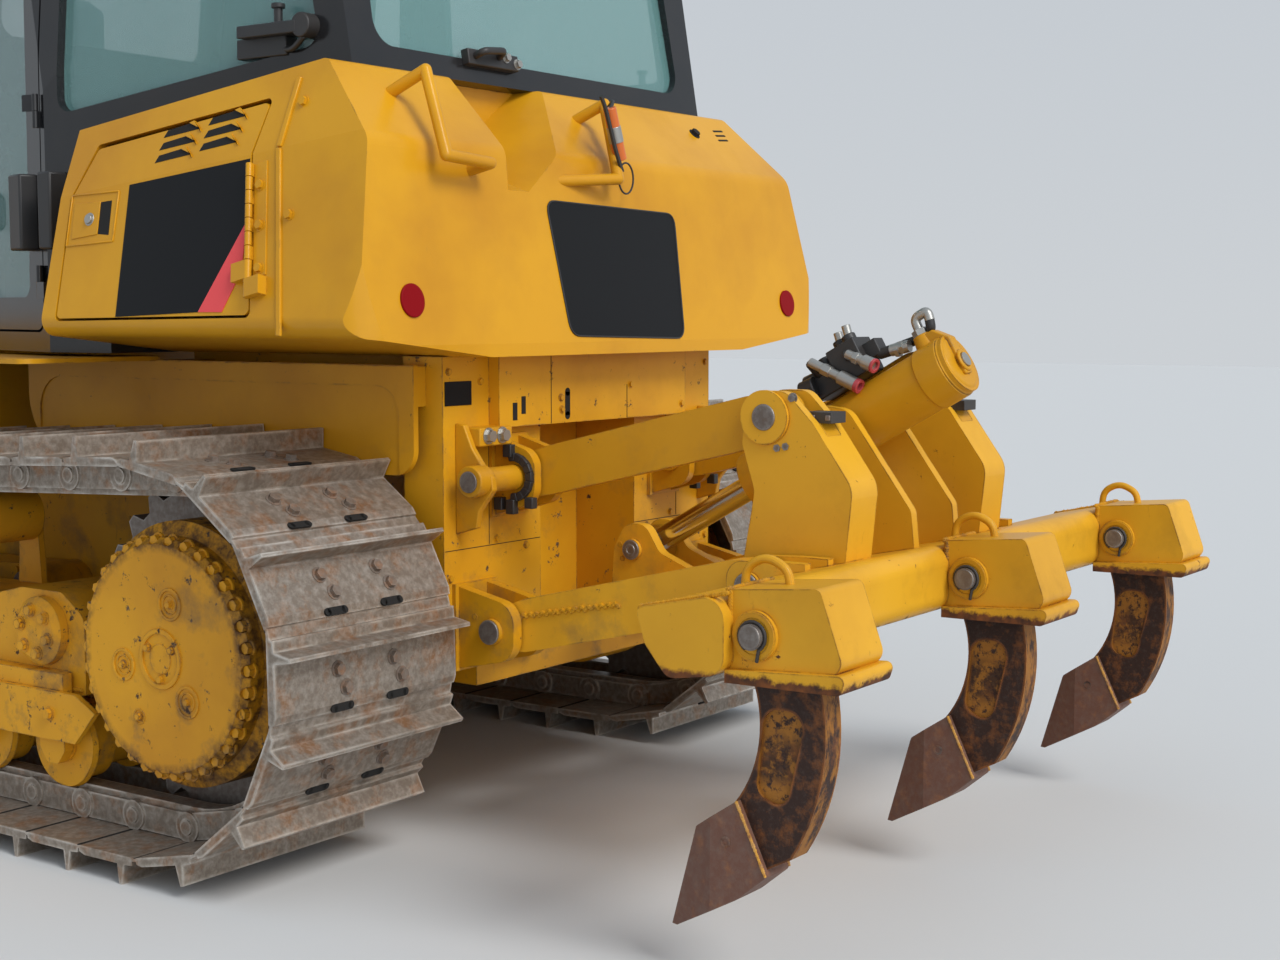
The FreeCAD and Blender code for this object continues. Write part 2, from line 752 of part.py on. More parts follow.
# Door hinges
def hinge_half(length, door):
    """Knuckle and strap on the frame with its pin, or on the door, drawn along z.

    x points out of the panel and y to the frame; the door lies towards -y.
    """
    size = hinge
    side = -1 if door else 1
    low = size["knuckle"] + flat_gap if door else 0.0
    high = low + size["knuckle"]
    inner = -size["stand"] + 2.0
    near, far = sorted((0.0, side * size["strap"]))
    pad_near, pad_far = sorted((side * size["edge"], side * size["strap"]))
    pieces = [
        rod(V(0, 0, low), V(0, 0, high), size["radius"]),
        block(inner, size["radius"], near, far, low, high),
        block(-size["stand"] - size["sink"], size["radius"], pad_near, pad_far, low, high),
    ]
    if door:
        half = joined(pieces)
        bore = rod(V(0, 0, low - 1.0), V(0, 0, high + 1.0), size["pin_radius"] + pin_clearance)
        return half.cut(bore).translated(V(0, 0, length))
    pieces.append(rod(V(0, 0, low), V(0, 0, 2 * size["knuckle"] + flat_gap), size["pin_radius"]))
    return joined(pieces).translated(V(0, 0, length))


def hung(door, frame, pieces):
    """The pieces with hinges joined to the frame and to the doors on both sides."""
    low, high, outward, shares = door_hinges[door + "_left"]
    way = V(*high) - V(*low)
    fixed = []
    moving = []
    for share in shares:
        for door_side, halves in ((False, fixed), (True, moving)):
            half = hinge_half(share * way.Length, door_side)
            halves.append(set_along(half, V(*low), V(*outward), way))
    pieces[frame] = joined([pieces[frame]] + fixed + [mirrored(half) for half in fixed])
    pieces[door + "_left"] = joined([pieces[door + "_left"]] + moving)
    pieces[door + "_right"] = joined([pieces[door + "_right"]] + [mirrored(half) for half in moving])
    return pieces


# Rear body
def body_sides(inset=0.0):
    """Body between its side walls, which lean in more over a crease that falls to the front."""
    low_lean = (body_half_low - body_half_crease) / (body_crease - body_side_low)
    high_lean = (body_half_crease - body_half_top) / (body_top - body_crease)
    top = body_top + 40.0
    low = cross_plate(both_sides([
        (533.0, body_low + inset),
        (body_half_low - inset, body_side_low + inset, 40.0),
        (body_half_low - inset - low_lean * (top - body_side_low), top),
    ]), -700.0, 700.0)
    fall = crease_fall * (high_lean - low_lean) / high_lean
    foot = body_low - 60.0
    crease = body_crease + fall * crease_rear
    high = cross_plate(both_sides([
        (body_half_crease - inset + high_lean * (crease - foot), foot),
        (body_half_crease - inset - high_lean * (top - crease), top),
    ]), -700.0, 700.0, fall)
    return low.common(high)


def service_rows(inset=0.0, top_inset=None):
    """Side door outline in y and z, with a wider gap over a leaf that rises as it opens."""
    top_inset = inset if top_inset is None else top_inset
    return [
        (body_front - 710.0 + inset, body_side_low + 40.0 + inset, 14.0),
        (body_front - 642.0 + inset, body_crease - 22.0),
        (body_front - 663.0 + inset, body_crease + 104.0 - top_inset, 14.0),
        (body_front - 90.0 - inset, body_crease + 26.0 - top_inset, 14.0),
        (body_front - 38.0 - inset, body_crease - 104.0, 14.0),
        (body_front - 50.0 - inset, body_side_low + 31.0 + inset, 14.0),
    ]


def notch_rows():
    """Recess behind the cab in x and z, upright at its left, placed for cross_plate at y = 0."""
    x, y, z = notch_foot
    low = z - notch_rise * y
    height = body_top + 60.0 - z
    left, right = x - notch_foot_half, x + notch_foot_half
    return [(left, low), (right, low), (right + notch_right * height, low + height),
            (left + notch_left * height, low + height)]


def rear_handles():
    """Bent tubes on the slanted rear face, either side of the recess."""
    handles = []
    for bends in handle_bends:
        places = [V(*place) for place in bends]
        handles += [rod(start, end, handle_radius) for start, end in zip(places, places[1:])]
        handles += [Part.makeSphere(handle_radius, place) for place in places[1:-1]]
    return handles


def rear_body_pieces():
    rear_line = [
        (body_face_low, body_low - 60.0),
        (body_face_low, body_low + 30.0),
        (body_face_crease, body_crease, 60.0),
        (body_top_rear, body_top, 25.0),
        (body_front, body_top - body_fall * (body_front - body_top_rear)),
        (body_front, body_low - 60.0),
    ]
    side = side_plate(rear_line, -body_half_low - 10.0, body_half_low + 10.0)
    plan_rows = [
        (body_half_low + 2.0, body_front),
        (body_half_low + 2.0, body_face_low, body_corner + 30.0),
        (-body_half_low - 2.0, body_face_low, body_corner + 30.0),
        (-body_half_low - 2.0, body_front),
    ]
    plan = level_plate(plan_rows, body_low - 60.0, body_top + 60.0)
    body = body_sides().common(side).common(plan)
    body = body.cut(cross_plate(notch_rows(), body_face_low - 30.0, body_top_rear + 60.0, -notch_rise))
    doors = []
    for side_sign in (-1, 1):
        x_low = min(side_sign * (body_half_low + 20.0), side_sign * (body_half_top - 60.0))
        x_high = max(side_sign * (body_half_low + 20.0), side_sign * (body_half_top - 60.0))
        cut = side_plate(service_rows(), x_low, x_high)
        leaf = body.common(side_plate(service_rows(door_gap, service_top_gap), x_low, x_high))
        leaf = leaf.cut(body_sides(service_leaf))
        x_in = min(side_sign * (body_half_top - service_depth), side_sign * (body_half_top - 50.0))
        x_out = max(side_sign * (body_half_top - service_depth), side_sign * (body_half_top - 50.0))
        pocket = side_plate(service_rows(30.0), x_in, x_out)
        body = body.cut(cut).cut(pocket)
        doors.append(leaf)
    return hung("service_door", "rear_body", {
        "rear_body": joined([body] + rear_handles()),
        "service_door_left": doors[0],
        "service_door_right": doors[1],
    })


# Cab
def cab_side_rows(inset=0.0):
    """Cab outline in y and z, with its floor ahead of the rear body."""
    return [
        (cab_rear + inset, sill_rear + flat_gap + inset),
        (cab_rear_top + inset, cab_roof_low - inset),
        (cab_front_top - inset, cab_roof_low - inset),
        (cab_front - inset, 2040.0),
        (cab_front - inset, cab_floor + inset),
        (body_front + flat_gap + inset, cab_floor + inset),
        (body_front + flat_gap + inset, sill_rear - body_fall * (body_front - cab_rear) + flat_gap + inset),
    ]


def cab_block(inset=0.0):
    rows = both_sides([
        (cab_half_rear - inset, cab_rear - 20.0 + (inset + 20.0 if inset else 0.0)),
        (cab_half_post - inset, cab_post_y),
        (cab_half_front + 130.0 - inset, cab_front - 90.0 - inset),
        (cab_half_front - inset, cab_front + 10.0 - (inset + 10.0 if inset else 0.0)),
    ])
    plan = level_plate(rows, cab_floor - 10.0, cab_roof_low + 10.0)
    section = cross_plate(both_sides([
        (cab_half_post - inset, cab_floor - 10.0),
        (cab_half_post - inset, sill_rear),
        (cab_half_top - inset, cab_roof_low + 10.0),
    ]), cab_rear - 30.0, cab_front + 30.0)
    side = side_plate(cab_side_rows(inset), -cab_half_post - 10.0, cab_half_post + 10.0)
    return side.common(plan).common(section)


def cab_door_rows(inset=0.0):
    return [
        (cab_post_y + 30.0 + inset, cab_floor + 50.0 + inset, 40.0),
        (cab_post_y + 10.0 + inset, cab_roof_low - 70.0 - inset, 60.0),
        (cab_front_top - 70.0 - inset, cab_roof_low - 70.0 - inset, 60.0),
        (cab_front - 110.0 - inset, cab_floor + 50.0 + inset, 60.0),
    ]


def quarter_window_rows(inset=0.0):
    """Side window between the rear corner post and the door post."""
    return [
        (cab_rear + 95.0 + inset, sill_rear + 50.0 + inset, 40.0),
        (cab_rear_top + 75.0 + inset, cab_roof_low - 80.0 - inset, 60.0),
        (cab_post_y - 60.0 - inset, cab_roof_low - 80.0 - inset, 60.0),
        (cab_post_y - 50.0 - inset, sill_rear - 60.0 + inset, 40.0),
    ]


def rear_window_rows(inset=0.0):
    return both_sides([
        (cab_half_rear - 85.0 - inset, sill_rear + 55.0 + inset, 60.0),
        (cab_half_top - 95.0 - inset, cab_roof_low - 85.0 - inset, 60.0),
    ])


def front_window_rows(inset=0.0):
    return both_sides([
        (cab_half_front - 60.0 - inset, 2050.0 + inset, 50.0),
        (cab_half_front - 60.0 - inset, cab_roof_low - 90.0 - inset, 50.0),
    ])


def cab_pieces():
    outer = cab_block()
    shell = outer.cut(cab_block(cab_wall))
    inner_glass = cab_wall / 2 - glass_thickness / 2
    pane_shell = cab_block(inner_glass).cut(cab_block(inner_glass + glass_thickness))
    reach = cab_half_post + 20.0
    pieces = {}
    glass = []
    for name, low, high in (("left", -reach, -cab_half_front - 10.0), ("right", cab_half_front + 10.0, reach)):
        leaf = shell.common(side_plate(cab_door_rows(door_gap), low, high))
        window = side_plate(cab_door_rows(90.0), low, high)
        pieces["cab_door_" + name] = leaf.cut(window)
        pieces["door_glass_" + name] = pane_shell.common(side_plate(cab_door_rows(90.0 + flat_gap), low, high))
        shell = shell.cut(side_plate(cab_door_rows(), low, high))
        low_wide, high_wide = (-reach, -300.0) if name == "left" else (300.0, reach)
        shell = shell.cut(side_plate(quarter_window_rows(), low_wide, high_wide))
        glass.append(pane_shell.common(side_plate(quarter_window_rows(flat_gap), low_wide, high_wide)))
    shell = shell.cut(cross_plate(rear_window_rows(), cab_rear - 40.0, cab_rear_top + cab_wall + 140.0))
    glass.append(pane_shell.common(cross_plate(rear_window_rows(flat_gap), cab_rear - 40.0,
                                               cab_rear_top + cab_wall + 140.0)))
    shell = shell.cut(cross_plate(front_window_rows(), cab_front_top - cab_wall - 40.0, cab_front + 40.0))
    glass.append(pane_shell.common(cross_plate(front_window_rows(flat_gap), cab_front_top - cab_wall - 40.0,
                                               cab_front + 40.0)))
    pieces["cab_frame"] = shell
    pieces["cab_glass"] = glass
    roof = level_plate(both_sides([
        (cab_half_top + 6.0, cab_rear_top - 30.0, 60.0),
        (cab_half_top + 6.0, cab_post_y + 60.0, 120.0),
        (cab_half_front + 60.0, cab_front_top + 40.0, 60.0),
    ]), cab_roof_low + flat_gap, cab_roof_high)
    pieces["cab_roof"] = roof
    return hung("cab_door", "cab_frame", pieces)


def seat_pieces():
    cushion = block(-250.0, 250.0, 640.0, 1080.0, 1560.0, 1660.0)
    back = side_plate([(620.0, 1620.0), (540.0, 2260.0, 50.0), (650.0, 2260.0, 50.0), (760.0, 1640.0)],
                      -230.0, 230.0)
    stand = block(-180.0, 180.0, 690.0, 1010.0, cab_floor + cab_wall + flat_gap, 1562.0)
    arms = [block(side * 340.0 - 55.0, side * 340.0 + 55.0, 620.0, 1060.0, cab_floor + cab_wall + flat_gap,
                  1800.0) for side in (-1, 1)]
    return {"seat": joined([cushion, back, stand]), "consoles": arms}


# Hood, radiator guard and engine
def hood_top(y):
    share = (y - cab_front) / (guard_rear - cab_front)
    return hood_top_rear + (hood_top_front - hood_top_rear) * share


def engine_door_rows(inset=0.0):
    return [
        (cab_front + 70.0 + inset, 1000.0 + inset, 20.0),
        (cab_front + 70.0 + inset, 1660.0 - inset, 20.0),
        (guard_rear - 236.0 - inset, 1590.0 - inset, 20.0),
        (guard_rear - 236.0 - inset, 1000.0 + inset, 20.0),
    ]


def hood_pieces():
    hood_rear = cab_front + 8.0
    section = cross_plate([
        (-hood_half, hood_low), (-hood_half, hood_top_rear - 90.0), (-hood_half + 110.0, hood_top_rear),
        (hood_half - 110.0, hood_top_rear), (hood_half, hood_top_rear - 90.0), (hood_half, hood_low),
    ], hood_rear - 20.0, guard_rear + 20.0)
    slope = (hood_top_rear - hood_top_front) / (guard_rear - cab_front)
    side = side_plate([
        (hood_rear, hood_low), (hood_rear, hood_top_rear - slope * 8.0), (guard_rear - flat_gap, hood_top_front),
        (guard_rear - flat_gap, hood_low),
    ], -hood_half - 10.0, hood_half + 10.0)
    hood = section.common(side)
    engine_bay = block(-hood_half + 30.0, hood_half - 30.0, hood_rear + 30.0, guard_rear - 20.0,
                       hood_low - 10.0, hood_top_front - 110.0)
    hood = hood.cut(engine_bay)
    pieces = {}
    for name, low, high in (("left", -hood_half - 20.0, -hood_half + 60.0), ("right", hood_half - 60.0, hood_half + 20.0)):
        leaf = hood.common(side_plate(engine_door_rows(door_gap), low, high))
        hood = hood.cut(side_plate(engine_door_rows(), low, high))
        pieces["engine_door_" + name] = leaf
    pieces["hood"] = hood
    block_rear = cab_front + 70.0
    block_front = guard_rear - 140.0
    engine = [block(-270.0, 270.0, block_rear, block_front, 560.0, 1480.0)]
    mounts = [block(-frame_half + frame_rail + flat_gap, frame_half - frame_rail - flat_gap, y, y + 80.0, 600.0, 660.0)
              for y in (block_rear + 80.0, block_front - 150.0)]
    pieces["engine"] = joined(engine + mounts)
    foot = V(exhaust[0], exhaust[1], hood_top(exhaust[1]) - 60.0)
    mouth = V(exhaust[0], exhaust[1], exhaust[2])
    rise = V(0, 0, 10.0)
    pipe = rod(foot, mouth, exhaust_radius).cut(rod(foot + rise, mouth + rise, exhaust_radius - exhaust_wall))
    pieces["hood"] = hood.cut(rod(foot - rise * 12.0, mouth, exhaust_radius + flat_gap))
    pieces["exhaust_stack"] = pipe
    return hung("engine_door", "hood", pieces)


def radiator_guard():
    shell = block(-guard_half, guard_half, guard_rear, guard_front, hood_low, guard_top)
    shell = shell.cut(block(-guard_half + 50.0, guard_half - 50.0, guard_rear + 30.0, guard_front + 10.0,
                            hood_low + 60.0, guard_top - 60.0))
    slats = []
    step = (guard_top - 60.0 - hood_low - 60.0) / slat_count
    for number in range(slat_count):
        z = hood_low + 60.0 + (number + 0.5) * step
        slats.append(block(-guard_half + 49.0, guard_half - 49.0, guard_front - 50.0, guard_front - 10.0,
                           z - 6.0, z + 6.0))
    return shell, slats


# Ripper
def along_link(front, y, up):
    """Place at y on a link's line, raised by up."""
    rise = link_step[1] / link_step[0]
    return (y, front[1] + (y - front[0]) * rise + up)


def fork(rows, eye_low, eye_high, thickness):
    """Two like plates, one each side of an eye, with the side gap between."""
    return [side_plate(rows, eye_low - side_gap - thickness, eye_low - side_gap),
            side_plate(rows, eye_high + side_gap, eye_high + side_gap + thickness)]


def bored(shape, place, radius, low=-2000.0, high=2000.0):
    """The shape with a hole along x through it."""
    return shape.cut(pin_along_x(place[0], place[1], radius, low, high))


def lug_rows(place, wall, half):
    """Plate that stands off the rear wall round a pin."""
    y, z = place
    return [(wall, z - half - 34.0), (y - half, z - half, half - 8.0),
            (y - half, z + half, half - 8.0), (wall, z + half + 34.0)]


def ripper_bracket():
    """Pads on the rear wall, with forks and pins for the lower and upper links."""
    wall = rear_wall_face - flat_gap
    pad = wall - 10.0
    pieces = []
    # pin place, eye from and to, plate thickness, lug half height
    forks = ((link_pin_lower, lower_eye, 30.0, 62.0), (link_pin_upper, upper_eye, 26.0, 58.0))
    for place, eye, thickness, half in forks:
        for side in (-1, 1):
            low, high = sorted((side * eye[0], side * eye[1]))
            plates = fork(lug_rows(place, pad + 1.0, half), low, high, thickness)
            reach = side_gap + thickness + 12.0
            plates.append(pin_along_x(place[0], place[1], link_pin_radius, low - reach, high + reach))
            plates.append(block(low - reach, high + reach, pad, wall, place[1] - half - 40.0,
                                place[1] + half + 40.0))
            pieces.append(joined(plates))
    return pieces


def link_bar(front, eye_half, belly):
    """Side outline of a link from its front pin to its rear pin."""
    rear = add(front, link_step)
    reach = eye_half + 4.0
    shoulder = 70.0
    corner = eye_half - 2.0
    return [along_link(front, front[0] + reach, -eye_half) + (corner,),
            along_link(front, front[0] + reach, eye_half) + (corner,),
            along_link(front, front[0] - shoulder, belly) + (20.0,),
            along_link(front, rear[0] + shoulder, belly) + (20.0,),
            along_link(front, rear[0] - reach, eye_half) + (corner,),
            along_link(front, rear[0] - reach, -eye_half) + (corner,),
            along_link(front, rear[0] + shoulder, -belly) + (20.0,),
            along_link(front, front[0] - shoulder, -belly) + (20.0,)]


def lower_link():
    """Wide casting from the frame's lugs to the beam, with ears for the cylinder's rod."""
    front = link_pin_lower
    rear = add(front, link_step)
    web_gap = 138.0
    web = [along_link(front, front[0] - web_gap, -36.0), along_link(front, front[0] - web_gap, 50.0),
           along_link(front, rear[0] + web_gap, 50.0), along_link(front, rear[0] + web_gap, -36.0)]
    ey, ez = ripper_rod_pin
    ear = [(ey + 66.0, ez - 120.0), (ey + 58.0, ez, 40.0), (ey + 24.0, ez + 64.0, 40.0),
           (ey - 36.0, ez + 64.0, 40.0), (ey - 78.0, ez - 2.0, 40.0), (ey - 205.0, ez - 52.0, 30.0),
           (ey - 225.0, ez - 90.0)]
    low, high = lower_eye
    pieces = [side_plate(link_bar(front, 46.0, 62.0), -high, -low),
              side_plate(link_bar(front, 46.0, 62.0), low, high),
              side_plate(web, -low - 5.0, low + 5.0)]
    for plate in fork(ear, -rod_eye_half, rod_eye_half, 30.0):
        pieces.append(plate)
    for side in (-1, 1):
        start, end = sorted((side * (rod_eye_half + side_gap + 29.0), side * (rod_eye_half + side_gap + 40.0)))
        pieces.append(pin_along_x(ey, ez, 26.0, start, end))
    link = joined(pieces)
    hole = link_pin_radius + pin_clearance
    return bored(bored(link, front, hole), rear, hole)


def upper_links():
    """Two straight bars between the towers' plates and the frame's upper forks."""
    front = link_pin_upper
    hole = link_pin_radius + pin_clearance
    link = side_plate(link_bar(front, 48.0, 58.0), -upper_eye[1], -upper_eye[0])
    link = bored(bored(link, front, hole), add(front, link_step), hole)
    return pair(link)


def beam_rows():
    return [(-1218.0, 712.0, 16.0), (-1240.0, 645.0, 30.0), (-1290.0, 586.0, 30.0),
            (-1412.0, 604.0, 40.0), (-1412.0, 752.0, 40.0)]


def tower_rows():
    """Tower plate in y and z, from its round head down to the beam."""
    head_y, head_z = add(link_pin_upper, link_step)
    foot_y, foot_z = add(link_pin_lower, link_step)
    return [(head_y + 58.0, head_z - 60.0, 30.0), (head_y + 52.0, head_z + 56.0, 50.0),
            (head_y - 50.0, head_z + 56.0, 40.0), (head_y - 116.0, head_z - 10.0, 20.0),
            (-1338.0, 890.0, 60.0), (-1322.0, 730.0), (-1300.0, 620.0), (foot_y - 40.0, foot_z - 84.0, 50.0),
            (foot_y + 70.0, foot_z - 74.0, 40.0), (foot_y + 96.0, foot_z + 24.0, 40.0),
            (head_y + 26.0, head_z - 160.0, 60.0)]


def tower_back(x_low, x_high):
    """Bent plate that closes a tower's rear edge from under its head down to the beam."""
    head_z = link_pin_upper[1] + link_step[1]
    block_whole = side_plate(tower_rows(), x_low, x_high)
    back = block_whole.cut(block_whole.translated(V(0, tower_back_plate, 8.0)))
    return back.cut(block(x_low - 1.0, x_high + 1.0, -1400.0, -1000.0, head_z - 36.0, head_z + 100.0))


def gusset_rows():
    """Middle plate in y and z that holds the cylinder's trunnion ahead of the beam."""
    y, z = ripper_trunnion
    return [(-1236.0, 700.0), (-1172.0, 850.0, 60.0), (y + 58.0, z - 30.0, 50.0), (y + 46.0, z + 60.0, 50.0),
            (y - 56.0, z + 50.0, 50.0), (-1338.0, 820.0, 30.0), (-1350.0, 700.0)]


def pocket_rows():
    return [(-1400.0, 590.0), (-1400.0, 757.0, 10.0), (-1590.0, 773.0, 16.0),
            (-1637.0, 640.0, 24.0), (-1600.0, 598.0, 16.0)]


def shank(grow=0.0):
    """Shank about the plane x = 0: straight in its pocket, then swept forward to its foot."""
    half = shank_thickness / 2 + grow
    pin_y, pin_z = shank_pin
    rear = pin_y - 108.0 - grow
    front = pin_y + 34.0 + grow
    top = pin_z + 60.0 + grow
    low = pin_z - 100.0
    bend_front = V(0, front - 8.0, pin_z - 223.0)
    bend_rear = V(0, pin_y - 111.0 - grow, pin_z - 248.0)
    foot = [V(0, pin_y + 99.0 + grow, pin_z - 353.0 + grow), V(0, pin_y + 136.0 + grow, pin_z - 416.0),
            V(0, pin_y + 61.0, pin_z - 473.0 - grow), V(0, pin_y - 47.0 - grow, pin_z - 416.0 - grow)]
    edges = [
        Part.makeLine(V(0, rear, top), V(0, front, top)),
        Part.makeLine(V(0, front, top), V(0, front, low)),
        Part.Arc(V(0, front, low), bend_front, foot[0]).toShape(),
        Part.makeLine(foot[0], foot[1]),
        Part.makeLine(foot[1], foot[2]),
        Part.makeLine(foot[2], foot[3]),
        Part.Arc(foot[3], bend_rear, V(0, rear, low)).toShape(),
        Part.makeLine(V(0, rear, low), V(0, rear, top)),
    ]
    face = Part.Face(Part.Wire(edges))
    face.translate(V(-half, 0, 0))
    return face.extrude(V(2 * half, 0, 0))


def dimpled_shank():
    """Shank with an oblong hollow in each side and the hole for its pin."""
    y, z = shank_pin
    half = shank_thickness / 2
    oblong = [(y - 78.0, z - 142.0, 34.0), (y + 12.0, z - 142.0, 34.0), (y + 30.0, z - 302.0, 30.0),
              (y - 34.0, z - 330.0, 30.0)]
    whole = bored(shank(), shank_pin, shank_pin_radius + pin_clearance)
    for side in (-1, 1):
        low, high = sorted((side * (half - dimple_depth), side * (half + 1.0)))
        whole = whole.cut(side_plate(oblong, low, high))
    return whole


def shank_tip():
    """Cap over the shank's foot that points forward and down."""
    y, z = shank_pin
    side = side_plate([(y + 62.0, z - 320.0), (y + 158.0, z - 384.0, 12.0), (y + 226.0, z - 590.0),
                       (y + 212.0, z - 590.0), (y + 60.0, z - 506.0, 40.0), (y - 2.0, z - 454.0, 10.0)],
                      -tip_half, tip_half)
    plan = level_plate([(-tip_half, y - 40.0), (-tip_half, y + 120.0), (-9.0, y + 232.0), (9.0, y + 232.0),
                        (tip_half, y + 120.0), (tip_half, y - 40.0)], z - 620.0, z - 250.0)
    return side.common(plan).cut(shank(flat_gap))


def ripper_beam():
    """Beam with towers, middle gussets, link cheeks and shank pockets."""
    rear_low = add(link_pin_lower, link_step)
    rear_top = add(link_pin_upper, link_step)
    beam = side_plate(beam_rows(), -beam_half, beam_half)
    pieces = [beam]
    low, high = upper_eye
    for side in (-1, 1):
        start, end = sorted((side * low, side * high))
        pieces += fork(tower_rows(), start, end, tower_plate)
        pieces.append(tower_back(start - side_gap - 1.0, end + side_gap + 1.0))
        boss_start, boss_end = sorted((side * (high + side_gap + tower_plate - 1.0),
                                       side * (high + side_gap + tower_plate + 9.0)))
        pieces.append(pin_along_x(rear_top[0], rear_top[1], tower_boss_radius, boss_start, boss_end))
        pieces.append(pin_along_x(rear_top[0], rear_top[1], link_pin_radius,
                                  start - tower_plate - 14.0, end + tower_plate + 14.0))
    for plate in fork(gusset_rows(), -gusset_inner, gusset_inner, gusset_plate):
        pieces.append(bored(plate, ripper_trunnion, ripper_cylinder["trunnion_radius"] + pin_clearance))
    places = (-pocket_spacing, 0.0, pocket_spacing)
    for x in places:
        pieces.append(side_plate(pocket_rows(), x - pocket_half, x + pocket_half))
        collar = pocket_half + pocket_collar
        pieces.append(side_plate([(-1402.0, 588.0), (-1402.0, 612.0), (-1652.0, 626.0, 12.0), (-1640.0, 590.0, 12.0)],
                                 x - collar, x + collar))
        boss = pocket_half + pocket_collar - 4.0
        pieces.append(pin_along_x(shank_pin[0], shank_pin[1], pocket_boss_radius, x - boss, x + boss))
    whole = joined(pieces)
    for x in places:
        whole = whole.cut(shank(flat_gap).translated(V(x, 0, 0)))
    low, high = lower_eye
    cheek = [(rear_low[0] + 56.0, rear_low[1] - 44.0, 40.0), (rear_low[0] + 56.0, rear_low[1] + 50.0, 40.0),
             (-1230.0, 744.0), (-1300.0, 744.0), (-1300.0, 600.0), (rear_low[0] - 30.0, rear_low[1] - 70.0, 30.0)]
    more = []
    for side in (-1, 1):
        start, end = sorted((side * low, side * high))
        whole = whole.cut(pin_along_x(rear_low[0], rear_low[1], 58.0, start - side_gap, end + side_gap))
        more += fork(cheek, start, end, 24.0)
        more.append(pin_along_x(rear_low[0], rear_low[1], link_pin_radius, start - 40.0, end + 40.0))
    whole = joined([whole] + more)
    return whole


def ripper_pieces():
    shanks = []
    tips = []
    pins = []
    pin_y, pin_z = shank_pin
    beam = bored(ripper_beam(), shank_pin, shank_pin_radius + pin_clearance)
    for x in (-pocket_spacing, 0.0, pocket_spacing):
        shanks.append(dimpled_shank().translated(V(x, 0, 0)))
        tips.append(shank_tip().translated(V(x, 0, 0)))
        reach = pocket_half + pocket_collar + 10.0
        pins.append(pin_along_x(pin_y, pin_z, shank_pin_radius, x - reach, x + reach))
    return {
        "ripper_bracket": ripper_bracket(),
        "ripper_lower_link": lower_link(),
        "ripper_upper_links": upper_links(),
        "ripper_beam": beam,
        "ripper_shanks": shanks,
        "ripper_tips": tips,
        "shank_pins": pins,
    }


# Cylinders
def set_along(shape, origin, pin_axis, way):
    """Turn a piece drawn along z, with its pin along x, and set it at origin."""
    z = V(way).normalize()
    x = V(pin_axis).normalize()
    y = z.cross(x).normalize()
    x = y.cross(z)
    turn = FreeCAD.Matrix(x.x, y.x, z.x, origin.x, x.y, y.y, z.y, origin.y,
                          x.z, y.z, z.z, origin.z, 0, 0, 0, 1)
    moved = shape.copy()
    moved.Placement = FreeCAD.Placement(turn)
    return moved


def barrel(size, pinned=True):
    """Cylinder body along z from its base pin, bored for its rod."""
    radius = size["barrel_radius"]
    start = size["barrel_start"]
    end = size["barrel_end"]
    pieces = [Part.makeCylinder(radius, end - start, V(0, 0, start)),
              Part.makeCylinder(radius + collar_rise, collar_length, V(0, 0, end - collar_length))]
    if pinned:
        pieces.append(rod(V(-size["eye_half"], 0, 0), V(size["eye_half"], 0, 0), size["eye_radius"]))
        pieces.append(Part.makeCylinder(size["neck_radius"], start + 1.0, V(0, 0, 0)))
    else:
        pieces.append(rod(V(-size["trunnion_half"], 0, 0), V(size["trunnion_half"], 0, 0), size["trunnion_radius"]))
        pieces.append(rod(V(-radius - 8.0, 0, 0), V(radius + 8.0, 0, 0), size["trunnion_radius"] + 18.0))
    body = joined(pieces)
    bore = Part.makeCylinder(size["rod_radius"] + pin_clearance, end - size["bore_start"] + 5.0,
                             V(0, 0, size["bore_start"]))
    body = body.cut(bore)
    if pinned:
        body = body.cut(rod(V(-200, 0, 0), V(200, 0, 0), size["pin_radius"] + pin_clearance))
    return body


def piston_rod(size):
    """Rod along z up to its eye, whose pin is at the origin."""
    pieces = [Part.makeCylinder(size["rod_radius"], size["rod_length"] - size["rod_eye_radius"] / 2,
                                V(0, 0, -size["rod_length"])),
              rod(V(-size["rod_eye_half"], 0, 0), V(size["rod_eye_half"], 0, 0), size["rod_eye_radius"])]
    return joined(pieces)


def cylinder_pair(size, base, tip, pin_axis):
    way = V(*tip) - V(*base)
    body = set_along(barrel(size, size.get("trunnion_half") is None), V(*base), pin_axis, way)
    ram = set_along(piston_rod(size), V(*tip), pin_axis, way)
    return body, ram


def cylinder_pieces():
    pieces = {}
    across = V(1, 0, 0)
    upright = V(0, 0, 1)
    body, ram = cylinder_pair(lift_cylinder, lift_trunnion, lift_rod_pin, across)
    pieces["lift_barrel_right"], pieces["lift_rod_right"] = body, ram
    pieces["lift_barrel_left"], pieces["lift_rod_left"] = mirrored(body), mirrored(ram)
    body, ram = cylinder_pair(angle_cylinder, angle_base_pin, angle_rod_pin, upright)
    pieces["angle_barrel_right"], pieces["angle_rod_right"] = body, ram
    pieces["angle_barrel_left"], pieces["angle_rod_left"] = mirrored(body), mirrored(ram)
    body, ram = cylinder_pair(tilt_cylinder, tilt_base_pin, tilt_rod_pin, V(0, 1, 0))
    pieces["tilt_barrel"], pieces["tilt_rod"] = body, ram
    middle = (0.0,) + ripper_trunnion
    eye = (0.0,) + ripper_rod_pin
    body, ram = cylinder_pair(ripper_cylinder, middle, eye, across)
    pieces["ripper_barrel"], pieces["ripper_rod"] = body, ram
    return pieces


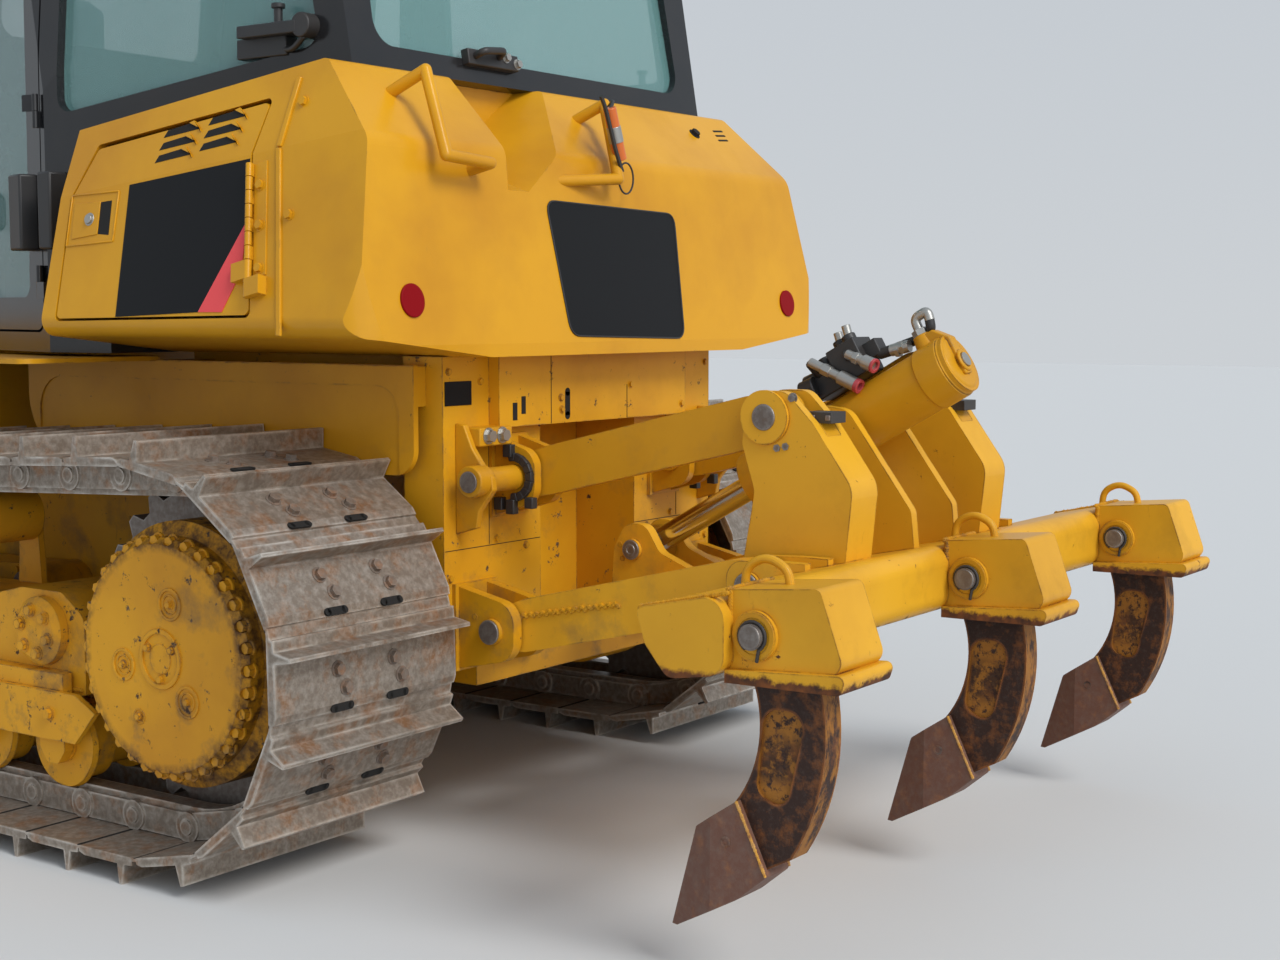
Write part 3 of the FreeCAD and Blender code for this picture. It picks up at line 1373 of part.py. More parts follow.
# Blade frame
def c_frame():
    """Push arms, cross member, nose and the seats of the lift and angle cylinders."""
    pivot_y, pivot_z = lift_pivot
    half = push_arm_height / 2
    arm = [(pivot_y - 82.0, pivot_z - 82.0, 78.0), (pivot_y - 82.0, pivot_z + 82.0, 78.0),
           (pivot_y + 160.0, pivot_z + half, 60.0), (cross_front, pivot_z + half + 5.0),
           (cross_front, nose_low), (cross_rear, nose_low, 40.0), (pivot_y + 160.0, pivot_z - half, 60.0)]
    pieces = []
    for side in (-1, 1):
        low, high = sorted((side * push_arm_inner, side * push_arm_outer))
        pieces.append(side_plate(arm, low, high))
    pieces.append(block(-push_arm_outer, push_arm_outer, cross_rear, cross_front, nose_low, nose_high))
    pieces.append(level_plate([(-nose_half_rear, cross_front - 5.0), (-nose_half, nose_pin_y),
                               (nose_half, nose_pin_y), (nose_half_rear, cross_front - 5.0)], nose_low, nose_high))
    pieces.append(rod(V(0, nose_pin_y, nose_low), V(0, nose_pin_y, nose_high), nose_half))
    x, y, z = lift_rod_pin
    lug = [(y - 70.0, nose_high - 5.0), (y - 58.0, z, 30.0), (y - 40.0, z + 58.0, 40.0), (y + 40.0, z + 58.0, 40.0),
           (y + 58.0, z, 30.0), (y + 70.0, nose_high - 5.0)]
    eye_half = lift_cylinder["rod_eye_half"]
    thickness = push_arm_outer - x - eye_half - side_gap
    for side in (-1, 1):
        pieces += fork(lug, side * x - eye_half, side * x + eye_half, thickness)
        start, end = sorted((side * (push_arm_outer - 1.0), side * (push_arm_outer + 10.0)))
        pieces.append(pin_along_x(y, z, 30.0, start, end))
    x, y, z = angle_base_pin
    eye_half = angle_cylinder["eye_half"]
    eye_radius = angle_cylinder["eye_radius"]
    for side in (-1, 1):
        post_low, post_high = sorted((side * (x - 42.0), side * (x + 42.0)))
        pieces.append(rod(V(side * x, y, nose_high - 5.0), V(side * x, y, z - eye_half - side_gap), eye_radius))
        pieces.append(rod(V(side * x, y, nose_high - 5.0), V(side * x, y, z + eye_half + side_gap + 26.0),
                          angle_cylinder["pin_radius"]))
        top = z + eye_half + side_gap
        pieces.append(block(post_low, post_high, y - eye_radius - 38.0, y - eye_radius - 10.0, nose_high - 5.0, top + 20.0))
        pieces.append(block(post_low, post_high, y - eye_radius - 38.0, y + 40.0, top, top + 20.0))
    frame = joined(pieces)
    frame = bored(frame, lift_pivot, lift_pin_radius + pin_clearance)
    return frame.cut(rod(V(0, nose_pin_y, 0), V(0, nose_pin_y, 900), nose_pin_radius + pin_clearance))


def blade_carrier():
    """Knuckle that turns on the nose's upright pin and carries the blade's tilt pin."""
    x, y, z = angle_rod_pin
    eye_half = angle_cylinder["rod_eye_half"]
    ear = angle_cylinder["rod_eye_radius"] + 6.0
    front = carrier_front
    plate = [(-120.0, nose_pin_y - 120.0, 118.0), (-230.0, front - 205.0, 60.0), (-300.0, front - 190.0),
             (-300.0, front), (300.0, front), (300.0, front - 190.0), (230.0, front - 205.0, 60.0),
             (120.0, nose_pin_y - 120.0, 118.0)]
    top = nose_high + side_gap
    low = nose_low - side_gap
    pieces = [
        level_plate(plate, top, top + 30.0),
        level_plate(plate, low - 30.0, low),
        block(-300.0, 300.0, front - 170.0, front, low - 30.0, top + 30.0),
        rod(V(0, nose_pin_y, low - 40.0), V(0, nose_pin_y, top + 44.0), nose_pin_radius),
        rod(V(0, front - 5.0, tilt_axis_z), V(0, blade_back + 90.0, tilt_axis_z), tilt_pin_radius),
    ]
    for side in (-1, 1):
        for plate_low in (z - eye_half - side_gap - 24.0, z + eye_half + side_gap):
            arm = [(side * 240.0, front - 165.0), (side * (x + ear), y - ear, ear - 4.0),
                   (side * (x + ear), y + ear, ear - 4.0), (side * 240.0, front - 5.0)]
            pieces.append(level_plate(arm, plate_low, plate_low + 24.0))
        low_x, high_x = sorted((side * 240.0, side * 299.0))
        pieces.append(block(low_x, high_x, front - 165.0, front - 5.0, top + 25.0, z + eye_half + side_gap + 24.0))
        low_x, high_x = sorted((side * 290.0, side * 440.0))
        pieces.append(block(low_x, high_x, front - 60.0, front - 5.0, z - eye_half - side_gap - 2.0,
                            z + eye_half + side_gap + 2.0))
        pieces.append(rod(V(side * x, y, z + eye_half + side_gap + 20.0), V(side * x, y, z + eye_half + side_gap + 32.0), 24.0))
    x, y, z = tilt_base_pin
    eye = tilt_cylinder["eye_half"] + side_gap
    ear = tilt_cylinder["eye_radius"] + 8.0
    tower = [(x - 60.0, top + 25.0), (x - ear, z, 20.0), (x - ear + 8.0, z + ear, 30.0), (x + ear - 8.0, z + ear, 30.0),
             (x + ear, z, 20.0), (x + 90.0, top + 25.0)]
    pieces.append(cross_plate(tower, y - eye - 24.0, y - eye))
    pieces.append(cross_plate(tower, y + eye, y + eye + 18.0))
    pieces.append(block(x - 60.0, x + 80.0, y - eye - 24.0, y + eye + 18.0, top + 25.0, z - ear - 30.0))
    pieces.append(rod(V(x, y - eye - 34.0, z), V(x, y + eye + 18.0, z), tilt_cylinder["pin_radius"]))
    return joined(pieces)


# Blade
def arc_plate(start, middle, end, thickness, x_low, x_high):
    """Curved plate in y and z, its thickness behind the arc."""
    arc = Part.Arc(V(0, *start), V(0, *middle), V(0, *end)).toShape()
    centre = arc.Curve.Center
    radius = arc.Curve.Radius
    grow = (radius + thickness) / radius
    outer = [centre + (V(0, *place) - centre) * grow for place in (start, middle, end)]
    edges = [arc, Part.makeLine(V(0, *end), outer[2]),
             Part.Arc(outer[2], outer[1], outer[0]).toShape(), Part.makeLine(outer[0], V(0, *start))]
    face = Part.Face(Part.Wire(edges))
    face.translate(V(x_low, 0, 0))
    return face.extrude(V(x_high - x_low, 0, 0))


def blade():
    """Curved mouldboard with its end plates, back boxes, ribs and tilt seat."""
    half = blade_width / 2
    bottom = (blade_edge_y - 42.0, blade_foot_z)
    middle = (blade_edge_y - 205.0, 650.0)
    top = (blade_edge_y - 62.0, blade_top)
    skin = arc_plate(bottom, middle, top, mouldboard_plate, -half, half)
    low_box = side_plate([(blade_edge_y - 46.0, 136.0), (blade_back + 60.0, 320.0, 30.0), (blade_back, 400.0, 30.0),
                          (blade_back, 610.0, 30.0), (blade_back + 70.0, 690.0, 30.0), (blade_edge_y - 206.0, 700.0)],
                         -1250.0, 1250.0)
    high_box = side_plate([(blade_edge_y - 196.0, 880.0), (blade_edge_y - 290.0, 925.0, 20.0),
                           (blade_edge_y - 290.0, 1080.0, 20.0), (blade_edge_y - 78.0, 1160.0)],
                          -half + 60.0, half - 60.0)
    end = [(blade_edge_y - 44.0, 132.0), (blade_edge_y - 270.0, 300.0, 40.0), (blade_edge_y - 300.0, 650.0, 80.0),
           (blade_edge_y - 290.0, 1080.0, 40.0), (blade_edge_y - 76.0, blade_top - 4.0), (blade_edge_y - 196.0, 900.0),
           (blade_edge_y - 215.0, 650.0), (blade_edge_y - 196.0, 420.0)]
    rib = [(blade_edge_y - 190.0, 500.0), (blade_back + 60.0, 560.0), (blade_edge_y - 280.0, 1000.0), (blade_edge_y - 190.0, 1000.0)]
    pieces = [skin, low_box, high_box]
    for x in (-half, half - 22.0):
        pieces.append(side_plate(end, x, x + 22.0))
    for x in (-1000.0, -620.0, 620.0, 1000.0):
        pieces.append(side_plate(rib, x - 10.0, x + 10.0))
    x, y, z = tilt_rod_pin
    eye = tilt_cylinder["rod_eye_half"] + side_gap
    ear_half = tilt_cylinder["rod_eye_radius"] + 10.0
    ear = [(x - ear_half, z - ear_half, 40.0), (x - ear_half, z + ear_half, 40.0),
           (x + 110.0, z + ear_half), (x + 110.0, z - ear_half)]
    pieces.append(cross_plate(ear, y - eye - 24.0, y - eye))
    pieces.append(cross_plate(ear, y + eye, y + eye + 24.0))
    pieces.append(block(x + 90.0, x + 110.0, y - eye - 24.0, blade_edge_y - 270.0, z - ear_half, z + ear_half))
    pieces.append(block(x - ear_half, x + 110.0, y + eye + 4.0, blade_edge_y - 280.0, z - ear_half, z + ear_half))
    whole = joined(pieces).cut(block(-half, half, blade_back, blade_edge_y, 0.0, blade_foot_z))
    return whole.cut(rod(V(0, blade_back - 10.0, tilt_axis_z), V(0, blade_back + 96.0, tilt_axis_z),
                         tilt_pin_radius + pin_clearance))


def cutting_edge():
    """Edge plate and end bits in line with the mouldboard's foot."""
    half = blade_width / 2
    rows = [(blade_edge_y, blade_low), (blade_edge_y - 24.0, blade_low), (blade_edge_y - 70.0, 122.0),
            (blade_edge_y - 64.0, blade_foot_z - flat_gap), (blade_edge_y - 40.0, blade_foot_z - flat_gap)]
    plates = []
    # from and to, as shares of the half width
    for start, end in ((-1.0, -0.82), (-0.82, 0.0), (0.0, 0.82), (0.82, 1.0)):
        plates.append(side_plate(rows, start * half + 1.0, end * half - 1.0))
    return plates


def guard_pieces():
    """Radiator guard, and the yokes on its sides that hold the lift cylinders' trunnions."""
    shell, slats = radiator_guard()
    x, y, z = lift_trunnion
    half = lift_cylinder["barrel_radius"] + 15.0
    foot = guard_half + flat_gap
    head = [(y - 150.0, z - 70.0, 20.0), (y - 150.0, z + 70.0, 20.0), (y + 60.0, z + 60.0, 50.0),
            (y + 60.0, z - 60.0, 50.0)]
    yoke = joined([
        side_plate(head, foot, max(x - half, foot + 5.0)),
        side_plate(head, x + half, x + half + 18.0),
        block(foot, x + half + 18.0, y - 150.0, y - 128.0, z - 70.0, z + 70.0),
    ])
    yoke = bored(yoke, (y, z), lift_cylinder["trunnion_radius"] + pin_clearance)
    return {"radiator_guard": joined([shell] + slats), "lift_yokes": pair(yoke)}


def small_pieces():
    """Lamps under the roof's overhang, at its rear and its front."""
    lamps = []
    # middle's x, and y from and to
    for x, y_low, y_high in ((560.0, cab_rear_top - 85.0, cab_rear_top - 30.0 - flat_gap),
                             (448.0, cab_front_top + 40.0 + flat_gap, cab_front_top + 95.0)):
        lamps += pair(block(-x - 70.0, -x + 70.0, y_low, y_high, cab_roof_low + 20.0, cab_roof_low + 100.0))
    return {"lamps": lamps}


def all_pieces():
    pieces = {}
    for group in (track_pieces(), drive_pieces(), track_frame_pieces(), rear_body_pieces(), cab_pieces(),
                  seat_pieces(), hood_pieces(), guard_pieces(), ripper_pieces(), cylinder_pieces(), small_pieces()):
        pieces.update(group)
    pieces["main_frame"] = main_frame()
    pieces["fenders"] = fenders()
    pieces["c_frame"] = c_frame()
    pieces["blade_carrier"] = blade_carrier()
    pieces["blade"] = blade()
    pieces["cutting_edge"] = cutting_edge()
    return pieces


def write_parts():
    """Write each piece, set about the middle of the machine's length."""
    os.makedirs("parts", exist_ok=True)
    wholes = {}
    for name, piece in all_pieces().items():
        shapes = piece if isinstance(piece, list) else [piece]
        solids = [solid for shape in shapes for solid in shape.Solids]
        wholes[name] = solids[0] if len(solids) == 1 else Part.makeCompound(solids)
    extent = Part.makeCompound(list(wholes.values())).BoundBox
    machine_middle = (extent.YMin + extent.YMax) / 2
    print("middle of the length from the sprocket axle", round(machine_middle, 4))
    for name, whole in sorted(wholes.items()):
        whole = whole.translated(V(0, -machine_middle, 0))
        whole.exportStep("parts/" + name + ".step")
        box = whole.BoundBox
        print(name, len(whole.Solids), "solids", whole.isValid(), round(whole.Volume / 1e6, 2), "litres",
              [round(value) for value in (box.XMin, box.XMax, box.YMin, box.YMax, box.ZMin, box.ZMax)])


write_parts()
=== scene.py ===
"""Finishes and fittings for a track-type bulldozer with a rear ripper.

Metres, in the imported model's frame: +Z up, +Y forward, +X the machine's right.
Places are written from the sprocket axle, and spot() moves them to the frame.
"""
import json
import math
import random

import bmesh
import bpy
from mathutils import Matrix, Vector


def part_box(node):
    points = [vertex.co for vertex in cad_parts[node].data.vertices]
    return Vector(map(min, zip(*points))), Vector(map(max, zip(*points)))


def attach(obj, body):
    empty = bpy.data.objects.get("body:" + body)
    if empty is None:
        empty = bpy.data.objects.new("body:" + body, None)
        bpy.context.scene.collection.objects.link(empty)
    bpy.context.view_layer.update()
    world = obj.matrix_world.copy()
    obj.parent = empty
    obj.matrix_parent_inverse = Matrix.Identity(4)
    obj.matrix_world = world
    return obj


bl_info = {
    "name": "Bulldozer finishes and fittings",
    "version": (1, 0, 0),
    "blender": (4, 5, 0),
    "location": "View3D > Sidebar > Bulldozer",
    "description": "Paint, wear, bolts, hoses and trim for the packed bulldozer",
    "category": "Object",
}

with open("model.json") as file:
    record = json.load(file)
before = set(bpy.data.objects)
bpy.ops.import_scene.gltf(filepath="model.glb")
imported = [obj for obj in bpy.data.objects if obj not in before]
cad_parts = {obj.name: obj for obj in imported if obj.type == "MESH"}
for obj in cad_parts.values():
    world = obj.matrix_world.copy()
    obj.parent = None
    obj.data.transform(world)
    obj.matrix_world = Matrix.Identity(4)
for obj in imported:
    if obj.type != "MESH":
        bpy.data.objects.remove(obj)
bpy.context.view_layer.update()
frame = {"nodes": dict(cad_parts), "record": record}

# The sprocket axle in the frame, from the drive cover that turns about it
drive_low, drive_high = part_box("final_drive_left")
AXLE_Y = (drive_low.y + drive_high.y) / 2
AXLE_Z = (drive_low.z + drive_high.z) / 2
COVER_FACE = -drive_low.x

LEFT, RIGHT = -1, 1
SIDES = (("left", LEFT), ("right", RIGHT))


def spot(x, y, z):
    """Place in the frame of a place measured from the sprocket axle's line."""
    return Vector((x, y + AXLE_Y, z))


# Settings
def colour(name, text, value):
    return bpy.props.FloatVectorProperty(name=name, description=text, default=value, subtype="COLOR",
                                         size=3, min=0.0, max=1.0)


def length(name, text, value):
    return bpy.props.FloatProperty(name=name, description=text, default=value, min=0.0, unit="LENGTH")


def share(name, text, value):
    return bpy.props.FloatProperty(name=name, description=text, default=value, min=0.0, max=1.0,
                                   subtype="FACTOR")


class BulldozerColours(bpy.types.PropertyGroup):
    """Colours of paint, steel and rust."""
    enamel: colour("Enamel", "Yellow paint of the bodywork", (0.660, 0.318, 0.010))
    enamel_shade: colour("Enamel shade", "Yellow paint where it is dull", (0.54, 0.240, 0.009))
    black: colour("Black", "Paint of the cab's frame", (0.012, 0.013, 0.015))
    steel: colour("Steel", "Worn bare steel", (0.30, 0.27, 0.25))
    rust_dark: colour("Dark rust", "Old brown rust", (0.055, 0.024, 0.014))
    rust_bright: colour("Bright rust", "Fresh orange rust", (0.30, 0.095, 0.022))
    mud: colour("Mud", "Dry soil", (0.12, 0.085, 0.055))
    red: colour("Red", "Reflectors", (0.23, 0.003, 0.006))
    film: colour("Film", "Red slash on the side", (0.80, 0.085, 0.090))
    shank_rust: colour("Ripper rust", "Old rust of the ripper's shanks", (0.034, 0.015, 0.010))
    edge_rust: colour("Edge rust", "Orange rust on the shanks' edges", (0.38, 0.125, 0.024))
    glass: colour("Glass", "Tint of the windows", (0.20, 0.40, 0.385))


class BulldozerSizes(bpy.types.PropertyGroup):
    """Sizes of the fittings."""
    shoe_bolt: length("Shoe bolt", "Radius of a shoe bolt's head", 0.0135)
    cover_bolt: length("Cover bolt", "Radius of a drive cover bolt's head", 0.0135)
    panel_bolt: length("Panel bolt", "Radius of a panel bolt's head", 0.008)
    hose: length("Hose", "Outer radius of a hydraulic hose", 0.0125)
    bead: length("Weld bead", "Radius of a weld bead", 0.0055)
    wear: share("Wear", "How far the paint is worn off edges", 0.5)


# Shapes
class Shape:
    """Closed forms that make up one piece, in the frame's metres."""

    def __init__(self):
        self.mesh = bmesh.new()

    def slab(self, corners, way):
        """Flat outline of places, thick along way."""
        way = Vector(way)
        near = [self.mesh.verts.new(Vector(corner)) for corner in corners]
        far = [self.mesh.verts.new(Vector(corner) + way) for corner in corners]
        count = len(corners)
        self.mesh.faces.new(list(reversed(near)))
        self.mesh.faces.new(far)
        for number in range(count):
            following = (number + 1) % count
            self.mesh.faces.new((near[number], near[following], far[following], far[number]))
        return self

    def box(self, low, high):
        low, high = Vector(low), Vector(high)
        corners = [(low.x, low.y, low.z), (high.x, low.y, low.z), (high.x, high.y, low.z), (low.x, high.y, low.z)]
        return self.slab(corners, (0.0, 0.0, high.z - low.z))

    def rod(self, start, end, radius, sides=24, end_radius=None):
        """Round bar, or a cone where the far radius differs."""
        start, end = Vector(start), Vector(end)
        far_radius = radius if end_radius is None else end_radius
        turn = (end - start).to_track_quat("Z", "Y")
        rings = []
        for centre, size in ((start, radius), (end, far_radius)):
            rings.append([self.mesh.verts.new(centre + turn @ Vector((
                size * math.cos(2 * math.pi * step / sides), size * math.sin(2 * math.pi * step / sides), 0.0)))
                for step in range(sides)])
        near, far = rings
        self.mesh.faces.new(list(reversed(near)))
        self.mesh.faces.new(far)
        for step in range(sides):
            following = (step + 1) % sides
            self.mesh.faces.new((near[step], near[following], far[following], far[step]))
        return self

    def tube(self, places, radius, sides=12, corner=0.0):
        """Round bar through places, its corners rounded."""
        line = rounded(places, corner) if corner else [Vector(place) for place in places]
        rings = []
        normal = None
        for number, here in enumerate(line):
            before = line[max(number - 1, 0)]
            after = line[min(number + 1, len(line) - 1)]
            way = (after - before).normalized()
            if normal is None:
                normal = way.orthogonal().normalized()
            normal = (normal - way * normal.dot(way)).normalized()
            side = way.cross(normal)
            rings.append([self.mesh.verts.new(here + normal * radius * math.cos(2 * math.pi * step / sides)
                                              + side * radius * math.sin(2 * math.pi * step / sides))
                          for step in range(sides)])
        self.mesh.faces.new(list(reversed(rings[0])))
        self.mesh.faces.new(rings[-1])
        for near, far in zip(rings, rings[1:]):
            for step in range(sides):
                following = (step + 1) % sides
                self.mesh.faces.new((near[step], near[following], far[following], far[step]))
        return self

    def washer(self, start, end, inner, outer, sides=32):
        """Ring with a round hole."""
        start, end = Vector(start), Vector(end)
        turn = (end - start).to_track_quat("Z", "Y")
        loops = []
        for centre, size in ((start, outer), (end, outer), (end, inner), (start, inner)):
            loops.append([self.mesh.verts.new(centre + turn @ Vector((
                size * math.cos(2 * math.pi * step / sides), size * math.sin(2 * math.pi * step / sides), 0.0)))
                for step in range(sides)])
        for number in range(4):
            near, far = loops[number], loops[(number + 1) % 4]
            for step in range(sides):
                following = (step + 1) % sides
                self.mesh.faces.new((near[step], near[following], far[following], far[step]))
        return self

    def piece(self, name, body, finish, bevel=0.0, smooth=True):
        """The finished piece, which rides on a body."""
        bmesh.ops.recalc_face_normals(self.mesh, faces=self.mesh.faces)
        data = bpy.data.meshes.new(name)
        self.mesh.to_mesh(data)
        self.mesh.free()
        item = bpy.data.objects.new(name, data)
        bpy.context.scene.collection.objects.link(item)
        if bevel:
            edge = item.modifiers.new("edges", "BEVEL")
            edge.width = bevel
            edge.segments = 2
            edge.limit_method = "ANGLE"
            edge.angle_limit = math.radians(40)
        if smooth:
            for face in data.polygons:
                face.use_smooth = True
            data.set_sharp_from_angle(angle=math.radians(35))
        return settle(item, body, finish)


def rounded(places, corner, steps=6):
    """Line through places with each inner corner turned into an arc."""
    places = [Vector(place) for place in places]
    line = [places[0]]
    for before, here, after in zip(places, places[1:], places[2:]):
        back, ahead = (before - here), (after - here)
        reach = min(corner, back.length * 0.49, ahead.length * 0.49)
        start, end = here + back.normalized() * reach, here + ahead.normalized() * reach
        for step in range(steps + 1):
            part = step / steps
            line.append(start * (1 - part) ** 2 + here * 2 * part * (1 - part) + end * part ** 2)
    line.append(places[-1])
    return line


def settle(item, body, finish):
    """Give a piece its finish and let it ride on a body."""
    item.data.materials.clear()
    item.data.materials.append(finishes[finish][0])
    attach(item, body)
    return item


# Repeats by Geometry Nodes
def new_tree(name, sizes):
    """Empty tree with geometry in and out, a material and named sizes."""
    tree = bpy.data.node_groups.new(name, "GeometryNodeTree")
    tree.interface.new_socket("Geometry", in_out="INPUT", socket_type="NodeSocketGeometry")
    for label, value in sizes:
        kind = "NodeSocketInt" if isinstance(value, int) else "NodeSocketFloat"
        socket = tree.interface.new_socket(label, in_out="INPUT", socket_type=kind)
        socket.default_value = value
    tree.interface.new_socket("Material", in_out="INPUT", socket_type="NodeSocketMaterial")
    tree.interface.new_socket("Geometry", in_out="OUTPUT", socket_type="NodeSocketGeometry")
    return tree, tree.nodes.new("NodeGroupInput"), tree.nodes.new("NodeGroupOutput")


def node(tree, kind, inputs=(), **settings):
    """Node with its settings, fed by sockets or plain values."""
    made = tree.nodes.new(kind)
    for key, value in settings.items():
        setattr(made, key, value)
    for key, value in dict(inputs).items():
        if isinstance(value, bpy.types.NodeSocket):
            tree.links.new(value, made.inputs[key])
        else:
            made.inputs[key].default_value = value
    return made


def maths(tree, operation, first, second=0.0):
    return node(tree, "ShaderNodeMath", {0: first, 1: second}, operation=operation).outputs[0]


def lifted(tree, shape, height):
    """Shape moved along z."""
    offset = node(tree, "ShaderNodeCombineXYZ", {"Z": height})
    return node(tree, "GeometryNodeTransform", {"Geometry": shape, "Translation": offset.outputs[0]}).outputs[0]


def on_points(tree, given, result, shape):
    """The shape on each point: its z along 'out', its x along 'along'."""
    out = node(tree, "GeometryNodeInputNamedAttribute", {"Name": "out"}, data_type="FLOAT_VECTOR")
    along = node(tree, "GeometryNodeInputNamedAttribute", {"Name": "along"}, data_type="FLOAT_VECTOR")
    upright = node(tree, "FunctionNodeAlignRotationToVector", {"Vector": out.outputs[0]}, axis="Z")
    turned = node(tree, "FunctionNodeAlignRotationToVector",
                  {"Rotation": upright.outputs[0], "Vector": along.outputs[0]}, axis="X", pivot_axis="Z")
    placed = node(tree, "GeometryNodeInstanceOnPoints",
                  {"Points": given.outputs["Geometry"], "Instance": shape, "Rotation": turned.outputs[0]})
    close(tree, given, result, placed.outputs[0])


def close(tree, given, result, shape):
    """Realize the instances, set the material and end the tree."""
    real = node(tree, "GeometryNodeRealizeInstances", {"Geometry": shape})
    painted = node(tree, "GeometryNodeSetMaterial",
                   {"Geometry": real.outputs[0], "Material": given.outputs["Material"]})
    tree.links.new(painted.outputs[0], result.inputs[0])


def bolt_tree():
    """Hexagon heads on round washers."""
    tree, given, result = new_tree("Bolt heads", (("Radius", 0.01), ("Height", 0.008), ("Washer", 0.014)))
    head = node(tree, "GeometryNodeMeshCylinder",
                {"Vertices": 6, "Radius": given.outputs["Radius"], "Depth": given.outputs["Height"]})
    washer_depth = maths(tree, "MULTIPLY", given.outputs["Height"], 0.35)
    washer = node(tree, "GeometryNodeMeshCylinder",
                  {"Vertices": 14, "Radius": given.outputs["Washer"], "Depth": washer_depth})
    both = tree.nodes.new("GeometryNodeJoinGeometry")
    tree.links.new(lifted(tree, head.outputs[0], maths(tree, "MULTIPLY", given.outputs["Height"], 0.6)),
                   both.inputs[0])
    tree.links.new(washer.outputs[0], both.inputs[0])
    on_points(tree, given, result, both.outputs[0])
    return tree


def link_tree():
    """Chain link side bars: a round pin end at the rear and a waist up to the next one."""
    tree, given, result = new_tree("Chain links", (("Pitch", 0.17), ("Eye", 0.036), ("Waist", 0.05), ("Depth", 0.012)))
    both = tree.nodes.new("GeometryNodeJoinGeometry")
    waist_size = node(tree, "ShaderNodeCombineXYZ",
                      {"X": given.outputs["Pitch"], "Y": given.outputs["Waist"], "Z": given.outputs["Depth"]})
    waist = node(tree, "GeometryNodeMeshCube", {"Size": waist_size.outputs[0]})
    tree.links.new(waist.outputs[0], both.inputs[0])
    offset = node(tree, "ShaderNodeCombineXYZ", {"X": maths(tree, "MULTIPLY", given.outputs["Pitch"], -0.5)})
    for size, height in ((1.0, 1.7), (0.5, 2.4)):
        eye = node(tree, "GeometryNodeMeshCylinder", {
            "Vertices": 18, "Radius": maths(tree, "MULTIPLY", given.outputs["Eye"], size),
            "Depth": maths(tree, "MULTIPLY", given.outputs["Depth"], height)})
        moved = node(tree, "GeometryNodeTransform", {"Geometry": eye.outputs[0], "Translation": offset.outputs[0]})
        tree.links.new(moved.outputs[0], both.inputs[0])
    on_points(tree, given, result, both.outputs[0])
    return tree


def slot_tree():
    """Rounded slots: a dark bar with round ends, set into a face; in holes and louvres the dark is painted shade for
    their depth, at seams it is a dark joint.
    """
    tree, given, result = new_tree("Slots", (("Length", 0.06), ("Radius", 0.008), ("Depth", 0.003)))
    both = tree.nodes.new("GeometryNodeJoinGeometry")
    bar_size = node(tree, "ShaderNodeCombineXYZ",
                    {"X": given.outputs["Length"], "Y": maths(tree, "MULTIPLY", given.outputs["Radius"], 2.0),
                     "Z": given.outputs["Depth"]})
    bar = node(tree, "GeometryNodeMeshCube", {"Size": bar_size.outputs[0]})
    tree.links.new(bar.outputs[0], both.inputs[0])
    for side in (-0.5, 0.5):
        end = node(tree, "GeometryNodeMeshCylinder",
                   {"Vertices": 16, "Radius": given.outputs["Radius"], "Depth": given.outputs["Depth"]})
        offset = node(tree, "ShaderNodeCombineXYZ", {"X": maths(tree, "MULTIPLY", given.outputs["Length"], side)})
        moved = node(tree, "GeometryNodeTransform", {"Geometry": end.outputs[0], "Translation": offset.outputs[0]})
        tree.links.new(moved.outputs[0], both.inputs[0])
    on_points(tree, given, result, both.outputs[0])
    return tree


def bead_tree():
    """Weld bead: overlapping drops along a line."""
    tree, given, result = new_tree("Weld bead", (("Radius", 0.006), ("Pitch", 0.006), ("Seed", 3)))
    line = node(tree, "GeometryNodeMeshToCurve", {"Mesh": given.outputs["Geometry"]})
    spaced = node(tree, "GeometryNodeResampleCurve",
                  {"Curve": line.outputs[0], "Length": given.outputs["Pitch"]}, mode="LENGTH")
    drop = node(tree, "GeometryNodeMeshIcoSphere", {"Radius": given.outputs["Radius"], "Subdivisions": 1})
    size = node(tree, "FunctionNodeRandomValue", {2: 0.8, 3: 1.2, "Seed": given.outputs["Seed"]}, data_type="FLOAT")
    placed = node(tree, "GeometryNodeInstanceOnPoints",
                  {"Points": spaced.outputs[0], "Instance": drop.outputs[0], "Scale": size.outputs[1]})
    close(tree, given, result, placed.outputs[0])
    return tree


def grown(name, tree, base, sizes, body, finish, smooth=False):
    """Run a tree over a base mesh and keep the result as a plain piece."""
    source = bpy.data.objects.new(name + "_base", base)
    bpy.context.scene.collection.objects.link(source)
    maker = source.modifiers.new("make", "NODES")
    maker.node_group = tree
    values = dict(sizes, Material=finishes[finish][0])
    for item in tree.interface.items_tree:
        if item.item_type == "SOCKET" and item.in_out == "INPUT" and item.name in values:
            maker[item.identifier] = values[item.name]
    graph = bpy.context.evaluated_depsgraph_get()
    data = bpy.data.meshes.new_from_object(source.evaluated_get(graph))
    data.name = name
    source.modifiers.clear()
    bpy.data.objects.remove(source)
    made = bpy.data.objects.new(name, data)
    bpy.context.scene.collection.objects.link(made)
    if smooth:
        for face in data.polygons:
            face.use_smooth = True
        data.set_sharp_from_angle(angle=math.radians(40))
    return settle(made, body, finish)


def points(rows):
    """Mesh of points with the directions 'out' and 'along'; rows of place, out and along."""
    base = bpy.data.meshes.new("points")
    base.from_pydata([tuple(row[0]) for row in rows], [], [])
    for number, label in ((1, "out"), (2, "along")):
        layer = base.attributes.new(label, "FLOAT_VECTOR", "POINT")
        for item, row in zip(layer.data, rows):
            item.vector = Vector(row[number])
    return base


def lines(paths):
    """Mesh of open lines through places."""
    places, edges = [], []
    for path in paths:
        first = len(places)
        places += [tuple(place) for place in path]
        edges += [(first + step, first + step + 1) for step in range(len(path) - 1)]
    base = bpy.data.meshes.new("lines")
    base.from_pydata(places, edges, [])
    return base


